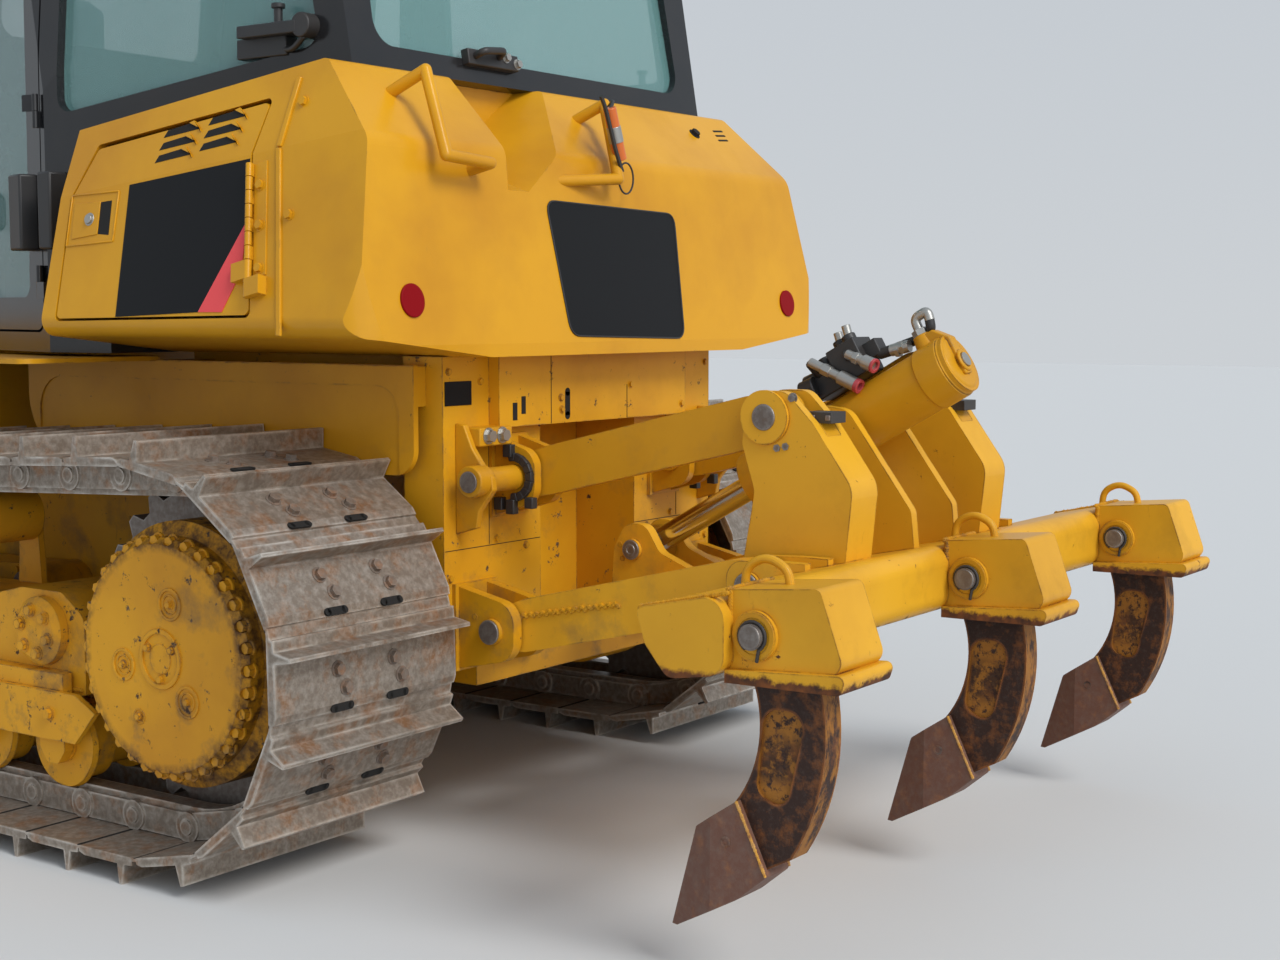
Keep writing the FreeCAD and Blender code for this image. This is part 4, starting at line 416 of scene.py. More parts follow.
def bolts(name, rows, radius, body, finish, height=None):
    """Bolt heads at rows of place and outward direction."""
    full = [(place, out, Vector(out).orthogonal()) for place, out in rows]
    head = height or radius * 0.75
    return grown(name, trees["bolt"], points(full), {"Radius": radius, "Height": head, "Washer": radius * 1.35},
                 body, finish)


def beads(name, paths, body, finish):
    size = bpy.context.scene.bulldozer_sizes.bead
    return grown(name, trees["bead"], lines(paths), {"Radius": size, "Pitch": size}, body, finish, smooth=True)


# Finishes
finishes = {}
trees = {}
POCKETS = (-0.889, 0.0, 0.889)
SHANK_FLOOR = 0.024        # a hollow's floor from its shank's middle
DRIVE_RIM = (0.232, 0.252)  # where the soil round a drive cover starts and is full


class Recipe:
    """Node material read in the object's own coordinates."""

    def __init__(self, name):
        self.material = bpy.data.materials.new(name)
        self.material.use_nodes = True
        self.tree = self.material.node_tree
        self.shader = self.tree.nodes["Principled BSDF"]
        self.place = self.tree.nodes.new("ShaderNodeTexCoord").outputs["Object"]

    def noise(self, scale, detail=4.0, roughness=0.55, stretch=(1.0, 1.0, 1.0), shift=(0.0, 0.0, 0.0)):
        mapped = node(self.tree, "ShaderNodeMapping",
                      {"Vector": self.place, "Scale": stretch, "Location": shift})
        return node(self.tree, "ShaderNodeTexNoise",
                    {"Vector": mapped.outputs[0], "Scale": scale, "Detail": detail, "Roughness": roughness}).outputs[0]

    def ramp(self, value, low, high):
        """Value stretched so that low gives 0 and high gives 1."""
        return node(self.tree, "ShaderNodeMapRange", {"Value": value, "From Min": low, "From Max": high}).outputs[0]

    def mix(self, part, first, second):
        made = node(self.tree, "ShaderNodeMix", {"Factor": part}, data_type="RGBA")
        for index, value in ((6, first), (7, second)):
            if isinstance(value, bpy.types.NodeSocket):
                self.tree.links.new(value, made.inputs[index])
            else:
                made.inputs[index].default_value = (*value, 1.0)
        return made.outputs[2]

    def times(self, first, second):
        return maths(self.tree, "MULTIPLY", first, second)

    def most(self, first, second):
        return maths(self.tree, "MAXIMUM", first, second)

    def edges(self, radius, softness=0.12):
        """1 on convex and concave edges, 0 on flats."""
        bevel = node(self.tree, "ShaderNodeBevel", {"Radius": radius}, samples=4)
        plain = node(self.tree, "ShaderNodeNewGeometry")
        dot = node(self.tree, "ShaderNodeVectorMath", {0: bevel.outputs[0], 1: plain.outputs["True Normal"]},
                   operation="DOT_PRODUCT").outputs["Value"]
        return self.ramp(dot, 1.0 - softness * 0.2, 1.0 - softness)

    def height(self, low, high):
        """1 below low, 0 above high, in the frame's height."""
        parts = node(self.tree, "ShaderNodeSeparateXYZ", {0: self.place})
        return self.ramp(parts.outputs["Z"], high, low)

    def bump(self, value, distance, strength=0.4):
        made = node(self.tree, "ShaderNodeBump", {"Height": value, "Distance": distance, "Strength": strength})
        self.tree.links.new(made.outputs[0], self.shader.inputs["Normal"])

    def feed(self, socket, value):
        if isinstance(value, bpy.types.NodeSocket):
            self.tree.links.new(value, self.shader.inputs[socket])
        else:
            self.shader.inputs[socket].default_value = value


def enamel(name, top, shade, rust, mud, wear, grime, gloss=0.32, chips=0.0, coat=0.10, foot=None,
           rim=None):
    """Paint with dull patches, soil low down or outside its rim, and rust on worn edges or under its foot."""
    make = Recipe(name)
    patch = make.ramp(make.noise(2.2, 5.0), 0.42, 0.68)
    tone = make.mix(patch, top, shade)
    soil = make.ramp(make.noise(7.0, 8.0, 0.65), 0.52, 0.72)
    low = make.height(0.35, 1.15)
    soiled = make.mix(make.times(make.most(low, 0.12), make.times(soil, grime)), tone, mud)
    scratch = make.ramp(make.noise(46.0, 6.0, 0.7, stretch=(1.0, 1.0, 0.35)), 0.66, 0.72)
    worn = make.times(make.edges(0.006), make.ramp(make.noise(14.0, 6.0, 0.7), 0.62 - 0.3 * wear, 0.80 - 0.3 * wear))
    spots = make.times(make.ramp(make.noise(24.0, 7.0, 0.75), 0.70 - 0.16 * chips, 0.73 - 0.16 * chips),
                       1.0 if chips else 0.0)
    rusty = make.most(make.most(worn, spots), make.times(scratch, 0.35 * wear))
    if foot:
        ragged = node(make.tree, "ShaderNodeMath", {0: make.height(*foot), 1: make.noise(38.0, 8.0, 0.7)},
                      operation="ADD").outputs[0]
        rusty = make.most(rusty, make.ramp(ragged, 0.95, 1.15))
    if rim:
        flat = node(make.tree, "ShaderNodeVectorMath", {0: make.place, 1: (0.0, 1.0, 1.0)}, operation="MULTIPLY")
        far = node(make.tree, "ShaderNodeVectorMath", {0: flat.outputs[0], 1: (0.0, spot(0, 0, 0).y, AXLE_Z)},
                   operation="DISTANCE").outputs["Value"]
        caked = make.times(make.ramp(far, *rim), make.ramp(make.noise(34.0, 7.0, 0.7), 0.62, 0.40))
        soiled = make.mix(make.times(caked, 0.85), soiled, rust)
    make.feed("Base Color", make.mix(rusty, soiled, make.mix(make.ramp(make.noise(34.0, 6.0), 0.35, 0.65), rust, mud)))
    make.feed("Roughness", node(make.tree, "ShaderNodeMapRange", {
        "Value": make.most(rusty, make.times(soil, grime * 0.5)), "To Min": gloss, "To Max": 0.75}).outputs[0])
    make.feed("Specular IOR Level", 0.22)
    make.feed("Coat Weight", coat)
    make.feed("Coat Roughness", 0.12)
    make.bump(make.noise(60.0, 3.0), 0.0006, 0.25)
    return make.material


def rusted(name, dark, bright, steel, share_bright, edge_steel, gloss=0.62, metal=0.3, grain=9.0, rub=0.008):
    """Bare steel gone brown, with orange patches and edges rubbed bright."""
    make = Recipe(name)
    patch = make.ramp(make.noise(grain, 8.0, 0.68), 0.62 - share_bright * 0.35, 0.78 - share_bright * 0.35)
    speck = make.ramp(make.noise(55.0, 6.0, 0.7), 0.42, 0.7)
    tone = make.mix(patch, dark, bright)
    tone = make.mix(make.times(speck, 0.35), tone, steel)
    rubbed = make.times(make.edges(rub), make.times(make.ramp(make.noise(12.0, 5.0), 0.38, 0.6), edge_steel))
    make.feed("Base Color", make.mix(rubbed, tone, steel))
    make.feed("Metallic", metal)
    make.feed("Roughness", node(make.tree, "ShaderNodeMapRange",
                                {"Value": rubbed, "To Min": gloss, "To Max": 0.35}).outputs[0])
    make.bump(make.noise(70.0, 8.0, 0.7), 0.0015, 0.5)
    return make.material


def shank_steel(name, dark, bright, paint, reach):
    """Brown rust on a shank, its edges orange and old paint in its oblong hollows, under reach from the middle."""
    make = Recipe(name)
    parts = node(make.tree, "ShaderNodeSeparateXYZ", {0: make.place})
    spacing = POCKETS[2]
    offset = maths(make.tree, "PINGPONG", node(make.tree, "ShaderNodeMath", {0: parts.outputs["X"]},
                                               operation="ABSOLUTE").outputs[0], spacing / 2)
    nearer = make.ramp(offset, reach + 0.0006, reach - 0.0006)
    facing = node(make.tree, "ShaderNodeSeparateXYZ",
                  {0: node(make.tree, "ShaderNodeNewGeometry").outputs["True Normal"]}).outputs["X"]
    floor = make.times(nearer, make.ramp(node(make.tree, "ShaderNodeMath", {0: facing},
                                              operation="ABSOLUTE").outputs[0], 0.90, 0.95))
    patch = make.ramp(make.noise(26.0, 8.0, 0.7), 0.50, 0.70)
    speck = make.ramp(make.noise(85.0, 7.0, 0.72), 0.50, 0.66)
    tone = make.mix(make.times(patch, 0.5), dark, bright)
    tone = make.mix(make.times(speck, 0.25), tone, (0.10, 0.075, 0.065))
    rubbed = make.times(make.edges(0.010), make.ramp(make.noise(20.0, 6.0), 0.30, 0.55))
    tone = make.mix(make.times(rubbed, 0.85), tone, bright)
    chipped = make.ramp(make.noise(60.0, 8.0, 0.75), 0.58, 0.50)
    middle = make.times(make.ramp(parts.outputs["Z"], 0.385, 0.415), make.ramp(parts.outputs["Z"], 0.500, 0.465))
    bare = make.times(middle, make.ramp(make.noise(30.0, 6.0, 0.7, shift=(0.3, 0.0, 0.0)), 0.42, 0.52))
    kept = make.times(chipped, maths(make.tree, "SUBTRACT", 1.0, make.times(bare, 0.9)))
    rearward = maths(make.tree, "MULTIPLY", node(make.tree, "ShaderNodeSeparateXYZ", {
        0: node(make.tree, "ShaderNodeNewGeometry").outputs["True Normal"]}).outputs["Y"], -1.0)
    streaks = make.ramp(make.noise(34.0, 8.0, 0.75, stretch=(1.0, 0.4, 0.4)), 0.56, 0.46)
    edge = make.times(make.ramp(rearward, 0.35, 0.60), streaks)
    painted = make.most(make.times(floor, kept), make.times(edge, 0.85))
    make.feed("Base Color", make.mix(painted, tone, paint))
    make.feed("Roughness", 0.6)
    make.feed("Specular IOR Level", 0.3)
    make.bump(make.noise(90.0, 8.0, 0.7), 0.002, 0.5)
    return make.material


def plain(name, tone, gloss, metal=0.0, alpha=1.0, transmission=0.0, coat=0.0, specular=0.5):
    """One even finish."""
    make = Recipe(name)
    make.feed("Specular IOR Level", specular)
    make.feed("Base Color", (*tone, 1.0))
    make.feed("Roughness", gloss)
    make.feed("Metallic", metal)
    make.feed("Alpha", alpha)
    make.feed("Transmission Weight", transmission)
    make.feed("Coat Weight", coat)
    return make.material


def dusty(name, tone, dust, gloss, amount):
    """Dark finish with dust lying in patches."""
    make = Recipe(name)
    film = make.times(make.ramp(make.noise(5.0, 7.0, 0.65), 0.4, 0.75), amount)
    make.feed("Base Color", make.mix(film, tone, dust))
    make.feed("Roughness", node(make.tree, "ShaderNodeMapRange",
                                {"Value": film, "To Min": gloss, "To Max": 0.8}).outputs[0])
    return make.material


class BULLDOZER_OT_finishes(bpy.types.Operator):
    """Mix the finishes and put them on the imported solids."""
    bl_idname = "bulldozer.finishes"
    bl_label = "Finishes"

    def execute(self, context):
        tint = context.scene.bulldozer_colours
        wear = context.scene.bulldozer_sizes.wear
        enamel_tones = (tint.enamel, tint.enamel_shade, tint.rust_dark, tint.mud)
        finishes.update({
            "body": (enamel("body enamel", *enamel_tones, wear=wear * 0.35, grime=0.35), "yellow_paint"),
            # work: the body's yellow made darker, painted shade matched to the shaded sides of the ripper's towers and
            # links; its soil, wear and chips are real
            "work": (enamel("work enamel painted darker for shade", (0.60, 0.285, 0.009), (0.49, 0.216, 0.008), tint.rust_dark, tint.mud, wear=wear, grime=0.8, gloss=0.42, chips=0.2, coat=0.05),
                     "yellow_paint"),
            # ground: yellow lighter than the body's, painted light for low parts lit from the ground, which also
            # offsets their heavy soil; soil, wear and chips are real
            "ground": (enamel("ground enamel painted lighter", (0.72, 0.340, 0.014), (0.56, 0.245, 0.013), tint.rust_dark, tint.mud,
                              wear=wear * 1.3, grime=1.0, gloss=0.5, chips=0.6, coat=0.03), "yellow_paint"),
            # beam: yellow lighter than the body's, painted light for the beam's lit faces; its wear, chips and rust
            # under the foot are real
            "beam": (enamel("beam enamel painted lighter", (0.72, 0.365, 0.018), (0.60, 0.290, 0.014), (0.20, 0.065, 0.018), tint.rust_dark,
                            wear=wear * 1.3, grime=0.3, gloss=0.42, chips=0.3, coat=0.05, foot=(0.585, 0.628)),
                     "yellow_paint"),
            # link: the lightest yellow, painted light for the lower link's lit side; its wear and soil are real
            "link": (enamel("link enamel painted lighter", (0.80, 0.400, 0.020), (0.62, 0.290, 0.014), tint.rust_dark, tint.mud,
                            wear=wear, grime=0.6, gloss=0.42, chips=0.2, coat=0.05), "yellow_paint"),
            # drive: the ground enamel's lighter yellow, painted light on the low drive covers
            "drive": (enamel("drive enamel painted lighter", (0.72, 0.340, 0.014), (0.56, 0.245, 0.013), tint.rust_dark, tint.mud,
                             wear=wear * 1.3, grime=1.0, gloss=0.5, chips=0.6, coat=0.03, rim=DRIVE_RIM),
                      "yellow_paint"),
            "frame": (enamel("frame enamel", *enamel_tones, wear=wear * 1.4, grime=0.9, gloss=0.45, chips=0.5,
                             coat=0.03), "yellow_paint"),
            "shank": (shank_steel("shank rust", tint.shank_rust, tint.edge_rust, (0.34, 0.135, 0.018), SHANK_FLOOR),
                      "rusty_steel"),
            "black_steel": (dusty("dark steel", (0.030, 0.026, 0.024), tint.mud, 0.5, 0.4), "bare_steel"),
            "red_film": (plain("red film", tuple(tint.film), 0.4, specular=0.2), "lamp_glass"),
            "black": (dusty("cab black", tint.black, tint.mud, 0.16, 0.06), "black_paint"),
            "shoe": (rusted("shoe steel", (0.235, 0.192, 0.152), (0.28, 0.145, 0.07), (0.72, 0.67, 0.60), 0.36, 1.0,
                            gloss=0.46, metal=0.55, grain=16.0, rub=0.012),
                     "shoe_steel"),
            "shoe_bolt": (rusted("shoe bolt steel", (0.15, 0.108, 0.080), (0.24, 0.12, 0.06), (0.30, 0.27, 0.24), 0.4, 0.3,
                                 gloss=0.55, metal=0.2, grain=40.0), "shoe_steel"),
            "rust": (rusted("rusted steel", tint.rust_dark, tint.rust_bright, tint.steel, 0.35, 0.25, metal=0.1),
                     "rusty_steel"),
            "tip": (rusted("tip rust", (0.150, 0.062, 0.038), (0.24, 0.095, 0.040), (0.20, 0.15, 0.12), 0.25, 0.6,
                           metal=0.0, grain=30.0, rub=0.006), "rusty_steel"),
            "old_paint": (rusted("old paint", (0.30, 0.110, 0.020), (0.62, 0.300, 0.030), tint.steel, 0.75, 0.1,
                                 metal=0.0, grain=40.0), "rusty_steel"),
            "steel": (rusted("bare steel", (0.16, 0.13, 0.11), (0.14, 0.07, 0.035), (0.4, 0.38, 0.36), 0.2, 0.8,
                             gloss=0.5, metal=0.6), "bare_steel"),
            "chrome": (plain("chromed rod", (0.62, 0.61, 0.58), 0.16, metal=1.0), "bright_steel"),
            "zinc": (plain("zinc plate", (0.42, 0.41, 0.38), 0.38, metal=0.8), "bare_steel"),
            "hose": (dusty("hose rubber", (0.018, 0.018, 0.018), tint.mud, 0.5, 0.3), "dark_plastic"),
            "plastic": (dusty("dark plastic", (0.022, 0.022, 0.023), tint.mud, 0.45, 0.12), "dark_plastic"),
            "panel": (plain("black panel", (0.006, 0.0062, 0.007), 0.40, specular=0.18), "dark_plastic"),
            # dark: near-black for dark joints at seams, and painted shade for the depth of slots, louvres and recesses
            "dark": (plain("dark joints and painted hole shade", (0.008, 0.007, 0.006), 0.9), "dark_plastic"),
            "red": (plain("red reflector", tuple(tint.red), 0.45, specular=0.08), "lamp_glass"),
            "pink": (plain("coupler cap", (0.42, 0.05, 0.06), 0.45), "dark_plastic"),
            "orange": (plain("orange cap", (0.62, 0.13, 0.01), 0.35, coat=0.3), "dark_plastic"),
            "lens": (plain("clear lens", (0.75, 0.77, 0.78), 0.12, coat=0.5), "lamp_glass"),
            "glass": (plain("tinted glass", tuple(tint.glass), 0.03, alpha=0.42, coat=1.0), "tinted_glass"),
            "seat": (dusty("seat cloth", (0.03, 0.03, 0.034), tint.mud, 0.85, 0.15), "seat_fabric"),
            "engine": (dusty("engine casting", (0.03, 0.03, 0.03), tint.mud, 0.6, 0.4), "engine_paint"),
        })
        trees.update({"bolt": bolt_tree(), "link": link_tree(), "slot": slot_tree(), "bead": bead_tree()})
        by_slot = {"yellow_paint": "body", "black_paint": "black", "shoe_steel": "shoe", "rusty_steel": "rust",
                   "bright_steel": "chrome", "bare_steel": "steel", "tinted_glass": "glass", "seat_fabric": "seat",
                   "dark_plastic": "plastic", "engine_paint": "engine", "lamp_glass": "lens"}
        worked = {"final_drive_left": "drive", "final_drive_right": "drive", "track_frame_left": "ground",
                  "track_frame_right": "ground", "main_frame": "frame", "ripper_beam": "beam", "ripper_shanks": "shank", "lift_yokes": "work",
                  "ripper_tips": "tip", "ripper_lower_link": "link", "ripper_upper_links": "work", "ripper_bracket": "work",
                  "ripper_barrel": "work", "c_frame": "work", "blade_carrier": "work", "blade": "work",
                  "fenders": "work", "track_rollers": "ground", "carrier_rollers": "ground",
                  "sprockets": "steel", "idlers": "ground"}
        for item in frame["record"]["subparts"]:
            name = item["node"]
            finish = worked.get(name) or by_slot[item["material_slot"]]
            solid = frame["nodes"][name]
            solid.data.materials.clear()
            solid.data.materials.append(finishes[finish][0])
        return {"FINISHED"}


# Tracks
TRACK_MIDDLE = 0.885
SHOE_COUNT = 41
SPROCKET_PITCH = 0.397
IDLER_PITCH = 0.345
WHEELBASE = 2.595
CHAIN_LOW = 0.099
FIRST_PIN = 0.011
SHOE_FACE = 0.053          # pin line to the shoe's outer face
BAND_FACE = 0.033          # pin line to the inner face of the shoes' band
SEAM_MIDDLE = 0.204
RAIL_MIDDLE = 0.086
RAIL_OUTER = 0.110
SPROCKET_Z = CHAIN_LOW + SPROCKET_PITCH
IDLER_Z = CHAIN_LOW + IDLER_PITCH
SLOPE = (math.asin((SPROCKET_PITCH - IDLER_PITCH) / math.hypot(WHEELBASE, SPROCKET_Z - IDLER_Z))
         + math.atan2(SPROCKET_Z - IDLER_Z, WHEELBASE))
REAR_WRAP = SPROCKET_PITCH * (math.pi + SLOPE)
TOP_RUN = math.sqrt(WHEELBASE ** 2 + (SPROCKET_Z - IDLER_Z) ** 2 - (SPROCKET_PITCH - IDLER_PITCH) ** 2)
FRONT_WRAP = IDLER_PITCH * (math.pi - SLOPE)
CHAIN = REAR_WRAP + TOP_RUN + FRONT_WRAP + WHEELBASE


def chain_place(travel):
    """y and z of the chain's pin line, from under the sprocket round the rear."""
    travel = travel % CHAIN
    if travel < REAR_WRAP:
        turn = travel / SPROCKET_PITCH
        return Vector((-math.sin(turn) * SPROCKET_PITCH, SPROCKET_Z - math.cos(turn) * SPROCKET_PITCH))
    turn = math.pi + SLOPE
    out = Vector((-math.sin(turn), -math.cos(turn)))
    travel -= REAR_WRAP
    if travel < TOP_RUN:
        return Vector((0.0, SPROCKET_Z)) + out * SPROCKET_PITCH + Vector((out.y, -out.x)) * travel
    travel -= TOP_RUN
    if travel < FRONT_WRAP:
        turn += travel / IDLER_PITCH
        return Vector((WHEELBASE - math.sin(turn) * IDLER_PITCH, IDLER_Z - math.cos(turn) * IDLER_PITCH))
    return Vector((WHEELBASE - (travel - FRONT_WRAP), CHAIN_LOW))


def shoe_frames():
    """Each shoe's pin place, its direction along the chain and its outward direction, in y and z."""
    pitch = CHAIN / SHOE_COUNT
    for number in range(SHOE_COUNT):
        travel = number * pitch - FIRST_PIN
        here, there = chain_place(travel), chain_place(travel + pitch)
        along = (there - here).normalized()
        yield here, along, Vector((-along.y, along.x)), (there - here).length


class BULLDOZER_OT_tracks(bpy.types.Operator):
    """Bolts and relief slots on the shoes, and the chain's links beside them."""
    bl_idname = "bulldozer.tracks"
    bl_label = "Tracks"

    def execute(self, context):
        size = context.scene.bulldozer_sizes
        for side_name, side in SIDES:
            heads, slots, bars, seams = [], [], [], []
            for here, along, out, pitch in shoe_frames():
                def place(x, run, rise):
                    spot_yz = here + along * run + out * rise
                    return spot(side * TRACK_MIDDLE + x, spot_yz.x, spot_yz.y)
                way = (0.0, along.x, along.y)
                up = Vector((0.0, out.x, out.y))
                for x in (-RAIL_MIDDLE, RAIL_MIDDLE):
                    for run in (0.052, 0.094):
                        heads.append((place(x + (0.012 if run < 0.06 else -0.012), run, SHOE_FACE), up))
                    slots.append((place(x, 0.011, SHOE_FACE - 0.001), up, (1.0, 0.0, 0.0)))
                for face in (-1, 1):
                    seams.append((place(face * SEAM_MIDDLE, 0.0, BAND_FACE), -up, (1.0, 0.0, 0.0)))
                    bars.append((place(face * (RAIL_OUTER + 0.004), pitch / 2, 0.0), (face, 0.0, 0.0), way))
            bolts("shoe_bolts_" + side_name, heads, size.shoe_bolt, "root", "shoe_bolt", height=0.011)
            # dark relief slots in the shoes: painted shade for the holes' depth
            grown("shoe_slots_" + side_name, trees["slot"], points(slots),
                  {"Length": 0.05, "Radius": 0.009, "Depth": 0.004}, "root", "dark")
            grown("shoe_seams_" + side_name, trees["slot"], points(seams),
                  {"Length": 0.145, "Radius": 0.005, "Depth": 0.0008}, "root", "dark")
            grown("chain_links_" + side_name, trees["link"], points(bars),
                  {"Pitch": CHAIN / SHOE_COUNT, "Eye": 0.036, "Waist": 0.062, "Depth": 0.012}, "root", "shoe",
                  smooth=True)
        return {"FINISHED"}


# Final drives and track frames
COVER_BOLTS = 34
COVER_BOLT_CIRCLE = 0.2605
COVER_POCKET = 0.024
PIVOT = (0.486, 0.504)
PIVOT_FACE = 1.047
GUARD_FACE = 1.060         # outer face of the plate along the track frame


def circle(count, radius, first=0.0):
    """y and z offsets of places round a circle."""
    for number in range(count):
        turn = first + 2 * math.pi * number / count
        yield radius * math.cos(turn), radius * math.sin(turn)


class BULLDOZER_OT_drive_covers(bpy.types.Operator):
    """Rim bolts, plugs and the middle cap of each final drive."""
    bl_idname = "bulldozer.drive_covers"
    bl_label = "Drive covers"

    def execute(self, context):
        size = context.scene.bulldozer_sizes
        # y and z from the axle
        large_plugs = ((-0.034, 0.124), (-0.085, -0.087), (0.123, -0.025))
        small_plug = (0.074, -0.137)
        for side_name, side in SIDES:
            def place(out, y, z):
                return spot(side * (COVER_FACE + out), y, AXLE_Z + z)
            outward = (side, 0.0, 0.0)
            heads = [(place(-COVER_POCKET, y, z), outward) for y, z in circle(COVER_BOLTS, COVER_BOLT_CIRCLE)]
            bolts("cover_bolts_" + side_name, heads, size.cover_bolt, "root", "ground", height=0.015)
            cap = Shape()
            cap.washer(place(-0.002, 0, 0), place(0.0045, 0, 0), 0.056, 0.068)
            cap.rod(place(-0.002, 0, 0), place(0.002, 0, 0), 0.034, sides=32)
            for y, z in large_plugs:
                cap.washer(place(-0.002, y, z), place(0.0035, y, z), 0.030, 0.037)
                cap.washer(place(-0.002, y, z), place(0.0025, y, z), 0.019, 0.023)
            cap.washer(place(-0.002, *small_plug), place(0.002, *small_plug), 0.014, 0.019)
            cap.piece("cover_rings_" + side_name, "root", "ground", bevel=0.0012)
            plug_rows = [(place(0.0, y, z), outward) for y, z in (*large_plugs, small_plug, *circle(3, 0.045, 0.5))]
            bolts("cover_plugs_" + side_name, plug_rows, 0.0085, "root", "ground", height=0.009)
            hub = [(spot(side * PIVOT_FACE, PIVOT[0] + y, PIVOT[1] + z), outward) for y, z in circle(6, 0.052, 0.3)]
            bolts("pivot_bolts_" + side_name, hub, 0.013, "root", "ground", height=0.012)
        return {"FINISHED"}


class BULLDOZER_OT_track_frames(bpy.types.Operator):
    """Bolts, plates and covers along the track frames."""
    bl_idname = "bulldozer.track_frames"
    bl_label = "Track frames"

    def execute(self, context):
        for side_name, side in SIDES:
            outward = (side, 0.0, 0.0)
            middle = side * TRACK_MIDDLE
            low = [(spot(side * GUARD_FACE, 0.42 + 0.235 * step, 0.318), outward) for step in range(8)]
            bolts("guard_bolts_" + side_name, low, 0.013, "root", "ground", height=0.012)
            box = Shape()
            face = middle + side * 0.128
            for y_low, y_high, z_low, z_high in ((0.96, 1.42, 0.440, 0.540), (1.52, 2.02, 0.440, 0.530)):
                box.box(spot(face - side * 0.002, y_low, z_low), spot(face + side * 0.006, y_high, z_high))
            box.piece("frame_covers_" + side_name, "root", "ground", bevel=0.002)
            heads = [(spot(face + side * 0.006, y, z), outward)
                     for y in (0.985, 1.19, 1.395, 1.545, 1.77, 1.995) for z in (0.455, 0.517)]
            bolts("frame_cover_bolts_" + side_name, heads, 0.008, "root", "ground")
            idler = [(spot(middle + side * 0.141, WHEELBASE + y, IDLER_Z + z), outward)
                     for y, z in circle(5, 0.042, 0.4)]
            bolts("idler_bolts_" + side_name, idler, 0.010, "root", "ground")
            frame_line = [(spot(face, y, z)) for y, z in ((0.36, 0.372), (0.9, 0.372), (2.2, 0.372))]
            beads("frame_beads_" + side_name, [frame_line], "root", "ground")
        return {"FINISHED"}


# Door hinges
def pin_line(side, low, high, out):
    """Place along a door's pin line, behind it towards the frame and raised off it."""
    low, high = Vector(low), Vector(high)
    way = (high - low).normalized()
    back = way.cross(Vector(out)).normalized()
    out = back.cross(way)

    def place(run, behind=0.0, proud=0.0):
        here = low + way * run - back * behind + out * proud
        return spot(side * here.x, here.y, here.z)
    return place


def hinge_leaf(shape, pin, low, high, way, stand=0.011, reach=0.046):
    """Knuckle on the pin line with its leaf on the panel; way is 1 on the frame and -1 on the door."""
    shape.rod(pin(low), pin(high), 0.008, sides=20)
    along = pin(high) - pin(low)
    for near, far, foot, head in ((0.0, 0.006, -stand, -0.001), (0.004, reach, -stand - 0.001, -stand + 0.0025)):
        shape.slab([pin(low, way * near, foot), pin(low, way * far, foot), pin(low, way * far, head),
                    pin(low, way * near, head)], along)


# Rear body
SIDE_LOW, SIDE_CREASE = 1.204, 1.628
HALF_LOW, HALF_CREASE, HALF_TOP, TOP = 0.965, 0.868, 0.800, 1.811
LOW_LEAN = (HALF_LOW - HALF_CREASE) / (SIDE_CREASE - SIDE_LOW)
HIGH_LEAN = (HALF_CREASE - HALF_TOP) / (TOP - SIDE_CREASE)
CREASE_REAR, CREASE_FALL = -0.300, 0.115
HIGH_FALL = CREASE_FALL * (HIGH_LEAN - LOW_LEAN) / HIGH_LEAN
FACE_LOW, FACE_CREASE, FACE_TOP = (-0.497, 1.185), (-0.437, 1.628), (-0.257, 1.811)


def on_panel(side, y, z, proud=0.0):
    """Place on the side wall, under or over its crease, raised off it by proud."""
    low = HALF_LOW - LOW_LEAN * (z - SIDE_LOW)
    high = HALF_CREASE - HIGH_LEAN * (z - SIDE_CREASE + HIGH_FALL * (y - CREASE_REAR))
    lean = LOW_LEAN if low < high else HIGH_LEAN
    out = Vector((1.0, 0.0, lean)).normalized()
    return spot(side * (min(low, high) + out.x * proud), y, z + out.z * proud)


def on_rear(x, z, proud=0.0):
    """Place on the rear face, under or over its crease, raised off it by proud."""
    start, end = (FACE_LOW, FACE_CREASE) if z < FACE_CREASE[1] else (FACE_CREASE, FACE_TOP)
    lean = (end[0] - start[0]) / (end[1] - start[1])
    out = Vector((0.0, -1.0, lean)).normalized()
    y = start[0] + lean * (z - start[1])
    return spot(x, y + out.y * proud, z + out.z * proud)


def sheet_on(shape, place, rows, thickness, sunk=0.002):
    """Thin plate laid on a face; rows of the two places that the face takes."""
    corners = [place(*row, -sunk) for row in rows]
    way = place(*rows[0], thickness) - place(*rows[0], 0.0)
    return shape.slab(corners, way.normalized() * (thickness + sunk))


def soft_corners(rows, corner):
    """Outline of flat places with its corners rounded."""
    line = []
    for number, here in enumerate(rows):
        before, after = rows[number - 1], rows[(number + 1) % len(rows)]
        arc = rounded([(*before, 0.0), (*here, 0.0), (*after, 0.0)], corner)[1:-1]
        line += [(place.x, place.y) for place in arc]
    return line


